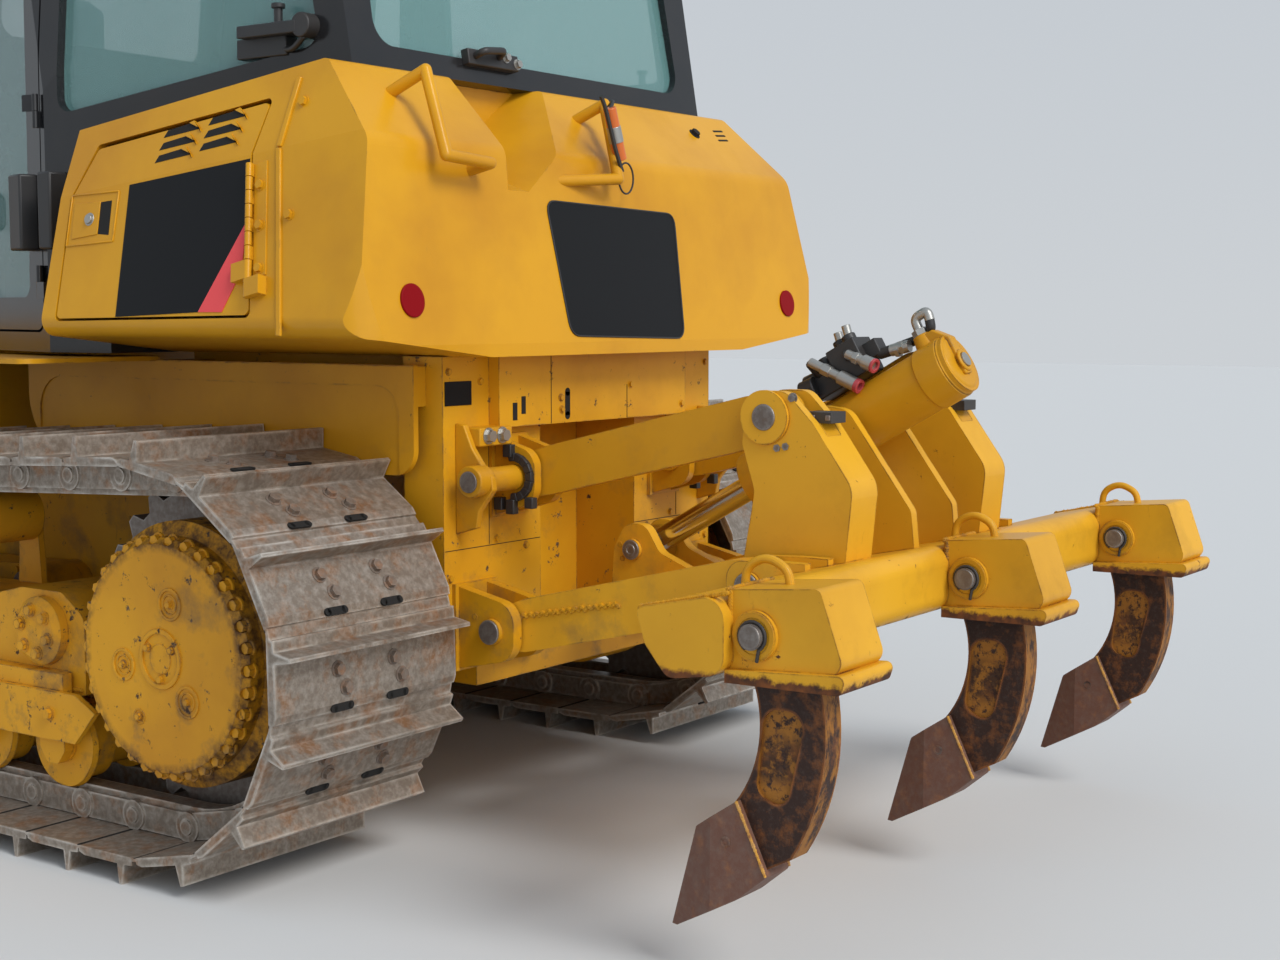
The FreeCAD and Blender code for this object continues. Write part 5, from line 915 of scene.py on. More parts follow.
class BULLDOZER_OT_side_doors(bpy.types.Operator):
    """Louvres, latch, hinges, blank black panel and red slash of each service door."""
    bl_idname = "bulldozer.side_doors"
    bl_label = "Side doors"

    def execute(self, context):
        black = ((0.300, 1.551), (-0.091, 1.594), (-0.110, 1.453), (0.001, 1.256), (0.277, 1.245))
        red = ((-0.110, 1.453), (-0.119, 1.347), (-0.075, 1.256), (0.001, 1.256))
        louvre = ((0.222, 1.658), (0.213, 1.675), (0.142, 1.687), (0.102, 1.673))
        lip = ((0.142, 1.687), (0.102, 1.673), (0.096, 1.666), (0.126, 1.692))
        for side_name, side in SIDES:
            body = "service_door_" + side_name

            def face(y, z, proud=0.0):
                return on_panel(side, y, z, proud)
            out = face(0.0, 1.4, 1.0) - face(0.0, 1.4)
            sheet_on(Shape(), face, black, 0.0012).piece("side_panel_" + side_name, body, "panel")
            sheet_on(Shape(), face, red, 0.0018).piece("side_slash_" + side_name, body, "red_film")
            latch = Shape()
            rim = ((0.501, 1.533), (0.334, 1.538), (0.329, 1.421), (0.494, 1.412))
            for start, end in zip(rim, rim[1:] + rim[:1]):
                latch.tube([face(*start, 0.001), face(*end, 0.001)], 0.0022, sides=8)
            sheet_on(latch, face, ((0.487, 1.513), (0.394, 1.515), (0.388, 1.438), (0.478, 1.428)), 0.0025)
            latch.piece("latch_plate_" + side_name, body, "body", bevel=0.001)
            # dark sheet in the latch's well: painted shade in the recess
            well_shade = Shape()
            sheet_on(well_shade, face, ((0.393, 1.514), (0.355, 1.517), (0.348, 1.436), (0.387, 1.439)), 0.0006)
            well_shade.piece("latch_well_shade_" + side_name, body, "dark")
            knob = Shape()
            knob.rod(face(0.423, 1.474), face(0.423, 1.474, 0.009), 0.0115)
            knob.rod(face(0.423, 1.474), face(0.423, 1.474, 0.004), 0.016)
            knob.piece("latch_knob_" + side_name, body, "zinc", bevel=0.001)
            # dark sheets between the louvre lips: painted shade in the vent openings
            vent_shade, lips = Shape(), Shape()
            for shift in ((0.0, 0.0), (-0.145, 0.0205)):
                for number in range(3):
                    step = (shift[0] + 0.004 * number, shift[1] - 0.0295 * number)
                    sheet_on(vent_shade, face, [(y + step[0], z + step[1]) for y, z in louvre], 0.0008)
                    sheet_on(lips, face, [(y + step[0], z + step[1]) for y, z in lip], 0.0045)
            vent_shade.piece("louvres_" + side_name, body, "dark")
            lips.piece("louvre_lips_" + side_name, body, "body", bevel=0.0015)
            pin = pin_line(side, (0.9568, -0.159, 1.2875), (0.8889, -0.102, 1.5845), (0.975, 0.0, 0.223))
            fixed, moving = Shape(), Shape()
            for number in range(7):
                run = 0.0865 + 0.0318 * number
                hinge_leaf(moving if number % 2 else fixed, pin, run, run + 0.0303, -1 if number % 2 else 1, reach=0.013)
            leaf = ((0.009, -0.014), (0.046, -0.014), (0.046, -0.0075), (0.009, -0.0075))
            fixed.slab([pin(0.0455, *row) for row in leaf], pin(0.3068) - pin(0.0455))
            fixed.piece("service_hinge_" + side_name, "root", "body", bevel=0.0006)
            moving.piece("service_leaf_" + side_name, body, "body", bevel=0.0006)
            leaf_out = pin(0, 0, 1) - pin(0)
            strip = [(pin(run, 0.028, -0.0075), leaf_out) for run in (0.0636, 0.1616, 0.2540)]
            corner = [(face(y, z), out) for y, z in ((-0.239, 1.466), (-0.218, 1.715))]
            bolts("hinge_bolts_" + side_name, strip + corner, 0.0105, "root", "body")
            flange = Shape()
            # lower and upper run of the flange beside the hinge
            for ends in (((-0.2637, 1.2045), (-0.1780, 1.6120)), ((-0.1780, 1.6160), (-0.1864, 1.7700))):
                (low_y, low_z), (high_y, high_z) = ends
                sheet_on(flange, face, ((low_y + 0.007, low_z), (high_y + 0.007, high_z), (high_y - 0.007, high_z),
                                        (low_y - 0.007, low_z)), 0.0055)
            flange.piece("corner_flange_" + side_name, "root", "body", bevel=0.002)
        return {"FINISHED"}


class BULLDOZER_OT_rear_face(bpy.types.Operator):
    """Blank black plate, reflectors, plugs and the handle's lanyard on the rear body."""
    bl_idname = "bulldozer.rear_face"
    bl_label = "Rear face"

    def execute(self, context):
        plate = soft_corners(((-0.280, 1.520), (0.260, 1.510), (0.247, 1.189), (-0.237, 1.200)), 0.035)
        sheet_on(Shape(), on_rear, plate, 0.0015).piece("rear_plate", "root", "panel")
        border = Shape()
        edge = [on_rear(x, z, 0.0015) for x, z in plate]
        border.tube(edge + edge[:1], 0.0022, sides=6)
        border.piece("rear_plate_edge", "root", "plastic")
        discs = Shape()
        for side in (LEFT, RIGHT):
            discs.rod(on_rear(side * 0.788, 1.281, -0.002), on_rear(side * 0.788, 1.281, 0.005), 0.037, sides=32)
        discs.piece("reflectors", "root", "red", bevel=0.0015)
        up = on_rear(0.0, 1.7, 1.0) - on_rear(0.0, 1.7)
        bolts("rear_plugs", [(on_rear(0.560, 1.746), up)], 0.013, "root", "dark")
        # dark slots on the rear face: painted shade for the slots' depth
        slots = [(on_rear(0.702 + 0.007 * step, 1.752 + 0.014 * step), up, (1.0, 0.0, 0.15)) for step in (-1, 0, 1)]
        grown("rear_slots", trees["slot"], points(slots), {"Length": 0.05, "Radius": 0.0035, "Depth": 0.001},
              "root", "dark")
        # lanyard: an orange tube in two lengths with a silver sleeve, a strap and a wire loop
        start, end = Vector((-0.060, -0.480, 1.753)), Vector((-0.014, -0.480, 1.630))
        near, far = start.lerp(end, 0.36), start.lerp(end, 0.66)
        Shape().rod(spot(*start), spot(*end), 0.0165).piece("lanyard_tube", "root", "orange", bevel=0.002)
        Shape().rod(spot(*near), spot(*far), 0.018).piece("lanyard_sleeve", "root", "zinc", bevel=0.001)
        strap = Shape()
        strap.tube([spot(x, -0.497, z) for x, z in ((-0.118, 1.775), (-0.100, 1.750), (-0.060, 1.655), (-0.030, 1.600))],
                   0.006, sides=6, corner=0.02)
        strap.tube([spot(-0.058, -0.482, 1.748), spot(-0.030, -0.470, 1.775), spot(0.012, -0.430, 1.768),
                    spot(0.022, -0.402, 1.750)], 0.005, sides=8, corner=0.03)
        strap.piece("lanyard_strap", "root", "plastic")
        loop = [(0.003 + 0.031 * math.sin(turn), 1.586 + 0.038 * math.cos(turn))
                for turn in (2 * math.pi * step / 24 for step in range(25))]
        Shape().tube([spot(x, -0.485, z) for x, z in loop], 0.0024, sides=8).piece("lanyard_loop", "root", "plastic")
        return {"FINISHED"}


# Rear wall under the body
WALL_Y = -0.370
BOX_Y = -0.402
UPPER_PIN = (-0.440, 0.870)
LOWER_PIN = (-0.480, 0.525)


class BULLDOZER_OT_rear_wall(bpy.types.Operator):
    """Data plate, slots, seams, link brackets and clamps on the rear wall."""
    bl_idname = "bulldozer.rear_wall"
    bl_label = "Rear wall"

    def execute(self, context):
        back = (0.0, -1.0, 0.0)
        Shape().box(spot(-0.554, WALL_Y - 0.0025, 1.041), spot(-0.460, WALL_Y, 1.097)).piece(
            "data_plate", "root", "panel", bevel=0.0008)
        # dark slotted hole in the box: painted shade for its depth
        slots = [(spot(-0.130, BOX_Y, 1.032), back, (0.0, 0.0, 1.0))]
        grown("box_slot", trees["slot"], points(slots), {"Length": 0.058, "Radius": 0.010, "Depth": 0.0016},
              "root", "dark")
        seams = Shape()
        # x from and to, z from and to, and the face's y
        for x_low, x_high, z_low, z_high, y in (
                (0.122, 0.124, 0.986, 1.071, BOX_Y), (-0.557, -0.202, 0.7040, 0.7056, WALL_Y),
                (0.202, 0.557, 0.7040, 0.7056, WALL_Y), (-0.398, -0.3965, 0.708, 0.985, WALL_Y),
                (0.3965, 0.398, 0.708, 0.985, WALL_Y), (-0.197, -0.195, 0.986, 1.150, BOX_Y),
                (-0.345, -0.328, 1.000, 1.042, BOX_Y), (-0.312, -0.296, 1.014, 1.056, BOX_Y)):
            seams.box(spot(x_low, y - 0.0008, z_low), spot(x_high, y, z_high))
        seams.piece("wall_seams", "root", "dark")
        small = [(spot(x, BOX_Y, z), back) for x, z in ((0.139, 1.071), (0.376, 1.013), (-0.157, 1.048), (-0.154, 1.019))]
        small += [(spot(side * x, WALL_Y, z), back) for side in (-1, 1) for x, z in (
            (0.258, 0.692), (0.370, 0.718), (0.258, 0.500), (0.540, 0.640), (0.426, 1.095), (0.540, 1.120))]
        bolts("wall_bolts", small, 0.0075, "root", "work")
        for side_name, side in SIDES:
            outward = (side, 0.0, 0.0)
            y, z = UPPER_PIN
            outline = [(WALL_Y, 1.000), (-0.395, 0.998), (-0.420, 0.944), (-0.452, 0.902), (-0.478, 0.880),
                       (-0.482, 0.850), (-0.462, 0.826), (-0.440, 0.800), (-0.432, 0.760), (WALL_Y, 0.742)]
            holder = Shape()
            holder.slab([spot(side * 0.500, *row) for row in outline], (side * 0.018, 0, 0))
            holder.rod(spot(side * 0.379, y, z), spot(side * 0.502, y, z), 0.029, sides=32)
            holder.rod(spot(side * 0.500, y, z), spot(side * 0.553, y, z), 0.037, sides=32)
            holder.box(spot(side * 0.382, -0.430, 0.947), spot(side * 0.500, WALL_Y, 0.990))
            holder.piece("upper_bracket_" + side_name, "root", "work", bevel=0.003)
            bolts("bracket_bolts_" + side_name, [(spot(side * x, -0.430, 0.971), back) for x in (0.420, 0.470)],
                  0.0145, "root", "zinc", height=0.014)
            pins = Shape()
            pins.rod(spot(side * 0.553, y, z), spot(side * 0.557, y, z), 0.025, sides=32)
            pins.rod(spot(side * 0.531, *LOWER_PIN), spot(side * 0.537, *LOWER_PIN), 0.0285, sides=32)
            pins.piece("bracket_pins_" + side_name, "root", "steel", bevel=0.0015)
            claw = Shape()
            arc = [(y + 0.058 * math.cos(turn), z + 0.058 * math.sin(turn))
                   for turn in (math.radians(75 + 22.5 * step) for step in range(10))]
            for start, end in zip(arc, arc[1:]):
                claw.slab([spot(side * 0.384, *start), spot(side * 0.384, *end),
                           spot(side * 0.384, end[0] + (y - end[0]) * 0.34, end[1] + (z - end[1]) * 0.34),
                           spot(side * 0.384, start[0] + (y - start[0]) * 0.34, start[1] + (z - start[1]) * 0.34)],
                          (side * 0.013, 0, 0))
            for lug_y, lug_z, tall in ((-0.428, 0.932, 0.030), (-0.436, 0.800, 0.034), (-0.492, 0.812, 0.026),
                                       (-0.400, 0.806, 0.030)):
                claw.box(spot(side * 0.382, lug_y - 0.012, lug_z - tall / 2), spot(side * 0.402, lug_y + 0.012, lug_z + tall / 2))
            claw.piece("link_clamp_" + side_name, "root", "plastic", bevel=0.002)
            bolts("lower_pin_bolts_" + side_name, [(spot(side * 0.516, LOWER_PIN[0] + 0.052, LOWER_PIN[1] + 0.030),
                                                    outward)], 0.008, "root", "work")
        return {"FINISHED"}


# Ripper
HEAD = (-1.126, 1.033)
HEAD_FACE = 0.393
TOWER_FACE = 0.381
TOWER_GAP = (0.303, 0.353)
LINK_REAR = (-1.166, 0.688)
SHANK_PIN = (-1.461, 0.678)
SHANK_PIN_REACH = 0.102
POCKET_BOSS = 0.088
POCKET_HALF = 0.078
TIP_HALF = 0.044
TIP_PIN = (-1.376, 0.278)
BEAM_TOP = ((-1.218, 0.712), (-1.412, 0.752))


def beam_top(y):
    """Height of the beam's upper face."""
    (near_y, near_z), (far_y, far_z) = BEAM_TOP
    return near_z + (y - near_y) / (far_y - near_y) * (far_z - near_z)


class BULLDOZER_OT_ripper(bpy.types.Operator):
    """Pin ends, retainers, lifting eyes and weld beads of the ripper."""
    bl_idname = "bulldozer.ripper"
    bl_label = "Ripper"

    def execute(self, context):
        body = "ripper_beam"
        ends = Shape()
        keeps = Shape()
        eyes = Shape()
        rings = Shape()
        for side in (LEFT, RIGHT):
            ends.rod(spot(side * (HEAD_FACE - 0.001), *HEAD), spot(side * (HEAD_FACE + 0.004), *HEAD), 0.0285, sides=32)
            ends.rod(spot(side * 0.524, *LINK_REAR), spot(side * 0.529, *LINK_REAR), 0.0285, sides=32)
            for inner, outer in ((0.040, 0.046), (0.050, 0.0565)):
                rings.washer(spot(side * 0.387, *HEAD), spot(side * 0.3925, *HEAD), inner, outer)
            low, high = sorted((side * (TOWER_GAP[0] - 0.010), side * (TOWER_GAP[1] + 0.004)))
            keeps.box(spot(low, -1.270, 1.022), spot(high, -1.205, 1.046))
            for y in (-1.225, -1.262):
                ends.box(spot(side * 0.352, y - 0.006, 1.028), spot(side * 0.360, y + 0.006, 1.040))
        for x in POCKETS:
            for side in (LEFT, RIGHT):
                face = x + side * SHANK_PIN_REACH
                ends.rod(spot(face - side * 0.002, *SHANK_PIN), spot(face + side * 0.003, *SHANK_PIN), 0.0225, sides=32)
                ring = [(SHANK_PIN[0] + 0.0275 * math.cos(turn), SHANK_PIN[1] + 0.0275 * math.sin(turn))
                        for turn in (math.radians(-60 + 20 * step) for step in range(16))]
                place = x + side * (POCKET_BOSS + 0.005)
                ring_line = [spot(place, *row) for row in ring]
                tail = spot(place, ring[-1][0] + 0.004, ring[-1][1] - 0.022)
                keeps.tube([*ring_line, tail], 0.0036, sides=8)
                rings.washer(spot(x + side * (POCKET_BOSS - 0.002), *SHANK_PIN),
                             spot(x + side * (POCKET_BOSS + 0.002), *SHANK_PIN), 0.033, 0.044)
            eyes.tube([spot(x, y, z) for y, z in ((-1.388, 0.745), (-1.392, 0.790), (-1.436, 0.812), (-1.480, 0.790),
                                                  (-1.486, 0.755))], 0.0085, sides=12, corner=0.035)
        heads = Shape()
        for side in (LEFT, RIGHT):
            heads.slab([spot(side * 0.299, y, z) for y, z in ((-1.2417, 1.0240), (-1.2630, 0.9945), (-1.2400, 0.9860),
                                                              (-1.2200, 1.0240))], (side * 0.058, 0, 0))
        heads.piece("tower_heads", body, "work", bevel=0.001)
        seams, holes = [], Shape()
        for x in POCKETS:
            for side in (LEFT, RIGHT):
                face = x + side * TIP_HALF
                seams.append([spot(face, -1.3995, 0.3555), spot(face, -1.4615, 0.2270)])
                holes.washer(spot(face - side * 0.001, *TIP_PIN), spot(face + side * 0.0012, *TIP_PIN), 0.0065, 0.0105)
        grown("tip_seams", trees["bead"], lines(seams), {"Radius": 0.0035, "Pitch": 0.0035}, body, "old_paint")
        holes.piece("tip_pin_holes", body, "rust")
        ends.piece("ripper_pin_ends", body, "steel", bevel=0.002)
        keeps.piece("ripper_keepers", body, "black_steel", bevel=0.0015)
        eyes.piece("lifting_eyes", body, "beam")
        rings.piece("ripper_boss_rings", body, "work", bevel=0.001)
        small = [(spot(side * TOWER_FACE, -1.155, 0.968), (side, 0.0, 0.0)) for side in (LEFT, RIGHT)]
        small += [(spot(side * (x - 0.002), y, z), (side, 0.0, 0.0)) for side in (LEFT, RIGHT)
                  for x, y, z in ((TOWER_FACE + 0.002, -1.176, 0.972), (TOWER_FACE + 0.002, -1.190, 1.075))]
        bolts("tower_bolts", small, 0.0085, body, "steel")
        lines_at = []
        for x in POCKETS:
            for side in (LEFT, RIGHT):
                across = x + side * (POCKET_HALF + 0.001)
                if abs(across) < 1.0:
                    lines_at.append([spot(across, -1.407, 0.630), spot(across, -1.407, 0.752)])
            lines_at.append([spot(x - POCKET_HALF, -1.400, 0.757), spot(x + POCKET_HALF, -1.400, 0.757)])
        for side in (LEFT, RIGHT):
            for face in (0.381, 0.275):
                lines_at.append([spot(side * face, y, beam_top(y) + 0.001) for y in (-1.225, -1.300)])
            lines_at.append([spot(side * 0.985, *row) for row in ((-1.222, 0.712), (-1.410, 0.753))])
            lines_at.append([spot(side * 0.985, *row) for row in ((-1.243, 0.650), (-1.219, 0.708))])
        beads("beam_beads", lines_at, body, "work")
        link = []
        for side in (LEFT, RIGHT):
            link.append([spot(side * 0.4865, -0.536 - 0.0092 * step, 0.5615 + 0.00175 * step + (0.004 if step % 2 else -0.004))
                         for step in range(31)])
        beads("link_beads", link, "ripper_lower_link", "work")
        caps = Shape()
        for side in (LEFT, RIGHT):
            caps.rod(spot(side * 0.081, -0.562, 0.675), spot(side * 0.089, -0.562, 0.675), 0.0245, sides=32)
            caps.washer(spot(side * 0.088, -0.562, 0.675), spot(side * 0.091, -0.562, 0.675), 0.009, 0.014)
        caps.piece("rod_pin_caps", "ripper_lower_link", "steel", bevel=0.002)
        bolts("rod_pin_bolts", [(spot(side * 0.072, y, z), (side, 0.0, 0.0)) for side in (LEFT, RIGHT)
                                for y, z in ((-0.523, 0.684), (-0.530, 0.650))], 0.0075, "ripper_lower_link", "work")
        return {"FINISHED"}


TRUNNION = (-1.120, 0.990)
BARREL_WAY = Vector((0.8710, -0.4916))
BARREL_RADIUS = 0.070


def on_barrel(along, up, x=0.0):
    """Place by its distance along the ripper's cylinder and its height over the middle line."""
    y = TRUNNION[0] + BARREL_WAY.x * along - BARREL_WAY.y * up
    z = TRUNNION[1] + BARREL_WAY.y * along + BARREL_WAY.x * up
    return spot(x, y, z)


class BULLDOZER_OT_ripper_cylinder(bpy.types.Operator):
    """Cap, ports, valve, couplers and hoses of the ripper's cylinder."""
    bl_idname = "bulldozer.ripper_cylinder"
    bl_label = "Ripper cylinder"

    def execute(self, context):
        body = "ripper_barrel"
        cap = Shape()
        cap.rod(on_barrel(-0.318, 0), on_barrel(-0.300, 0), 0.060, end_radius=0.0735, sides=48)
        cap.rod(on_barrel(-0.300, 0), on_barrel(-0.235, 0), 0.0735, sides=48)
        cap.rod(on_barrel(-0.262, 0.060), on_barrel(-0.262, 0.098), 0.026, end_radius=0.021)
        cap.slab([on_barrel(along, up, -0.016) for along, up in
                  ((-0.319, -0.030), (-0.326, -0.030), (-0.326, 0.060), (-0.296, 0.094), (-0.262, 0.094), (-0.262, 0.070))],
                 (0.032, 0, 0))
        cap.washer(on_barrel(-0.324, 0), on_barrel(-0.331, 0), 0.017, 0.026)
        cap.piece("cylinder_cap", body, "work", bevel=0.003)
        port = Shape()
        port.rod(on_barrel(-0.326, 0), on_barrel(-0.334, 0), 0.0165)
        port.rod(on_barrel(-0.262, 0.098), on_barrel(-0.262, 0.112), 0.019, sides=6)
        port.tube([on_barrel(-0.262, 0.110), on_barrel(-0.264, 0.140), on_barrel(-0.300, 0.140), on_barrel(-0.296, 0.118)],
                  0.0115, sides=14, corner=0.02)
        port.rod(on_barrel(-0.225, 0.092), on_barrel(-0.180, 0.105), 0.014)
        for along in (-0.205, -0.190):
            port.rod(on_barrel(along, 0.0985), on_barrel(along - 0.009, 0.096), 0.0165, sides=6)
        port.piece("cylinder_ports", body, "zinc", bevel=0.001)
        # valve body in along and up, x from and to
        valve = Shape()
        for near, far, low, high, x_low, x_high in ((-0.125, -0.045, 0.085, 0.172, -0.040, 0.045),
                                                   (-0.050, 0.030, 0.085, 0.150, -0.030, 0.050),
                                                   (-0.160, -0.120, 0.110, 0.150, -0.012, 0.030)):
            valve.slab([on_barrel(near, low, x_low), on_barrel(far, low, x_low), on_barrel(far, high, x_low),
                        on_barrel(near, high, x_low)], (x_high - x_low, 0, 0))
        for along, x, up in ((-0.098, 0.0, 0.190), (-0.060, 0.025, 0.196), (-0.020, -0.005, 0.172)):
            valve.rod(on_barrel(along, 0.120, x), on_barrel(along, up, x), 0.017, sides=16)
        for along, up, x in ((0.022, 0.118, -0.034), (0.028, 0.135, 0.012)):
            valve.rod(on_barrel(along - 0.010, up, x), on_barrel(along + 0.030, up + 0.004, x), 0.024, sides=20)
        valve.rod(spot(-0.050, -1.043, 1.141), on_barrel(0.0, 0.130, -0.010), 0.0135, sides=20)
        valve.rod(spot(-0.046, -1.137, 1.161), on_barrel(-0.090, 0.135, -0.020), 0.0135, sides=20)
        valve.piece("valve_block", body, "plastic", bevel=0.003)
        stubs = Shape()
        for along, x, up in ((-0.098, 0.0, 0.212), (-0.060, 0.025, 0.214)):
            stubs.rod(on_barrel(along, up - 0.030, x), on_barrel(along - 0.006, up, x), 0.0105)
        pink = Shape()
        # each coupler from its block to its cap
        for start, end in ((Vector((-0.047, -1.137, 1.161)), Vector((-0.058, -1.215, 1.135))),
                           (Vector((-0.050, -1.043, 1.141)), Vector((-0.058, -1.177, 1.088)))):
            stubs.rod(spot(*start), spot(*start.lerp(end, 0.62)), 0.0115, sides=20)
            stubs.rod(spot(*start.lerp(end, 0.25)), spot(*start.lerp(end, 0.42)), 0.0145, sides=6)
            stubs.rod(spot(*start.lerp(end, 0.60)), spot(*start.lerp(end, 0.93)), 0.0165, sides=24)
            pink.washer(spot(*start.lerp(end, 0.92)), spot(*end), 0.010, 0.0170, sides=24)
        stubs.piece("couplers", body, "zinc", bevel=0.001)
        pink.piece("coupler_caps", body, "pink", bevel=0.001)
        size = context.scene.bulldozer_sizes
        lines_at = Shape()
        lines_at.tube([on_barrel(-0.180, 0.105), on_barrel(-0.150, 0.112)], size.hose, sides=14)
        lines_at.tube([on_barrel(-0.296, 0.120), on_barrel(-0.290, 0.100), on_barrel(-0.255, 0.098, 0.03),
                       on_barrel(-0.16, 0.115, 0.03), on_barrel(-0.12, 0.125, 0.02)], size.hose * 0.9, sides=14, corner=0.02)
        lines_at.tube([on_barrel(0.02, 0.120, -0.034), on_barrel(0.075, 0.125, -0.034), on_barrel(0.12, 0.100, -0.034),
                       on_barrel(0.17, 0.092, -0.034), on_barrel(0.235, 0.084, -0.030)], size.hose, sides=14, corner=0.03)
        lines_at.tube([on_barrel(0.03, 0.138, 0.012), on_barrel(0.09, 0.140, 0.020), on_barrel(0.15, 0.110, 0.036),
                       on_barrel(0.24, 0.090, 0.036)], size.hose, sides=14, corner=0.03)
        lines_at.piece("ripper_hoses", body, "hose")
        guard = Shape()
        for step in range(18):
            near = 0.085 + 0.0085 * step
            up = 0.138 - 0.045 * min(1.0, max(0.0, (near - 0.09) / 0.08)) ** 0.8
            guard.washer(on_barrel(near, up, 0.034), on_barrel(near + 0.0055, up, 0.034), 0.011, 0.0155, sides=16)
        guard.piece("hose_coil", body, "zinc")
        steel = Shape()
        steel.tube([on_barrel(-0.235, 0.062, 0.040), on_barrel(-0.20, 0.082, 0.040), on_barrel(0.10, 0.082, 0.050),
                    on_barrel(0.245, 0.080, 0.040), on_barrel(0.262, 0.060, 0.040)], 0.0085, sides=12, corner=0.02)
        steel.piece("cylinder_line", body, "work")
        return {"FINISHED"}


# Cab
CAB_FOOT, CAB_HEAD = (-0.238, 1.808), (-0.060, 2.846)
CAB_HALF_REAR, CAB_HALF_POST, CAB_HALF_TOP = 0.702, 0.765, 0.690
CAB_POST_Y, CAB_CORNER = 0.765, (0.580, 1.400)
DOOR_PIN = (0.772, 0.789)


def on_cab_rear(x, z, proud=0.0):
    """Place on the cab's rear wall, raised off it by proud."""
    lean = (CAB_HEAD[0] - CAB_FOOT[0]) / (CAB_HEAD[1] - CAB_FOOT[1])
    out = Vector((0.0, -1.0, lean)).normalized()
    return spot(x, CAB_FOOT[0] + lean * (z - CAB_FOOT[1]) + out.y * proud, z + out.z * proud)


def on_door(side, y, z, proud=0.0):
    """Place on the cab's door, whose wall slants in to the front."""
    slant = (CAB_HALF_POST - CAB_CORNER[0]) / (CAB_CORNER[1] - CAB_POST_Y)
    out = Vector((1.0, slant, 0.0)).normalized()
    x = CAB_HALF_POST - slant * (y - CAB_POST_Y)
    return spot(side * (x + out.x * proud), y + out.y * proud, z)


class BULLDOZER_OT_cab(bpy.types.Operator):
    """Latch, lamp brackets, handles, boxes and upper hinges of the cab."""
    bl_idname = "bulldozer.cab"
    bl_label = "Cab"

    def execute(self, context):
        latch = Shape()
        sheet_on(latch, on_cab_rear, ((-0.316, 1.846), (-0.124, 1.846), (-0.124, 1.884), (-0.316, 1.884)), 0.022)
        latch.tube([on_cab_rear(-0.290, 1.866, 0.02), on_cab_rear(-0.290, 1.872, 0.050), on_cab_rear(-0.210, 1.880, 0.050),
                    on_cab_rear(-0.200, 1.872, 0.02)], 0.009, corner=0.015)
        latch.piece("window_latch", "root", "plastic", bevel=0.003)
        away = on_cab_rear(0, 2, 1.0) - on_cab_rear(0, 2)
        bolts("window_latch_bolts", [(on_cab_rear(x, z, 0.022), away) for x, z in ((-0.173, 1.874), (-0.132, 1.862))],
              0.010, "root", "zinc", height=0.010)
        for side_name, side in SIDES:
            bracket = Shape()
            wall = side * 0.712
            bracket.box(*corners_of(wall - side * 0.03, wall + side * 0.035, -0.105, 0.085, 1.884, 1.912))
            bracket.box(*corners_of(wall - side * 0.03, wall + side * 0.010, -0.050, 0.111, 1.840, 1.886))
            bracket.rod(spot(wall + side * 0.012, -0.030, 1.910), spot(wall + side * 0.012, -0.030, 1.950), 0.010)
            bracket.rod(spot(wall + side * 0.012, -0.030, 1.945), spot(wall + side * 0.012, -0.030, 1.957), 0.016)
            bracket.rod(spot(wall - side * 0.02, -0.118, 1.900), spot(wall + side * 0.034, -0.118, 1.900), 0.028)
            bracket.tube([spot(wall + side * 0.02, -0.118, 1.876), spot(wall + side * 0.012, -0.075, 1.850),
                          spot(wall, -0.030, 1.855)], 0.007, corner=0.02)
            bracket.piece("lamp_bracket_" + side_name, "root", "plastic", bevel=0.003)
            post = Shape()
            post.box(*corners_of(side * 0.755, side * 0.812, 0.690, 0.740, 1.413, 1.605))
            post.piece("post_box_" + side_name, "root", "plastic", bevel=0.006)
            body = "cab_door_" + side_name
            stay = Shape()
            stay.slab([on_door(side, y, z, 0.0) for y, z in ((0.812, 1.413), (0.887, 1.413), (0.887, 1.605), (0.812, 1.605))],
                      (on_door(side, 0, 0, 0.05) - on_door(side, 0, 0)))
            stay.piece("door_box_" + side_name, body, "plastic", bevel=0.006)
            grip = Shape()
            grip.slab([on_door(side, y, z, -0.002) for y, z in ((1.292, 1.47), (1.352, 1.47), (1.352, 1.60), (1.292, 1.60))],
                      (on_door(side, 0, 0, 0.012) - on_door(side, 0, 0)))
            grip.tube([on_door(side, 1.322, 1.485, 0.004), on_door(side, 1.322, 1.490, 0.045), on_door(side, 1.322, 1.580, 0.045),
                       on_door(side, 1.322, 1.585, 0.004)], 0.009, corner=0.02)
            grip.piece("door_grip_" + side_name, body, "plastic", bevel=0.002)
            rail = Shape()
            rail.tube([on_corner(side, 0.5, 1.30, 0.0), on_corner(side, 0.5, 1.32, 0.06), on_corner(side, 0.5, 2.18, 0.06),
                       on_corner(side, 0.5, 2.20, 0.0)], 0.013, sides=14, corner=0.05)
            rail.piece("grab_rail_" + side_name, "root", "body")
            pin = pin_line(side, (0.772, 0.789, 1.290), (0.772, 0.789, 1.826), (0.96, -0.28, 0.0))
            for way, owner, low in ((1, "root", 0.4288), (-1, body, 0.4711)):
                half = Shape()
                hinge_leaf(half, pin, low, low + 0.042, way)
                half.piece("cab_hinge_" + owner + "_" + side_name, owner, "black", bevel=0.0006)
        lamps = Shape()
        rims = Shape()
        for side in (LEFT, RIGHT):
            for x, y, way in ((0.560, -0.146, -1), (0.448, 1.4905, 1)):
                lamps.rod(spot(side * x, y, 2.906), spot(side * x, y + way * 0.002, 2.906), 0.031, sides=32)
                rims.washer(spot(side * x, y, 2.906), spot(side * x, y + way * 0.005, 2.906), 0.030, 0.037)
        lamps.piece("lamp_lenses", "root", "lens")
        rims.piece("lamp_rims", "root", "plastic", bevel=0.001)
        return {"FINISHED"}


def corners_of(x_one, x_two, y_low, y_high, z_low, z_high):
    """Low and high corner of a block, whichever side its x values are given from."""
    return spot(min(x_one, x_two), y_low, z_low), spot(max(x_one, x_two), y_high, z_high)


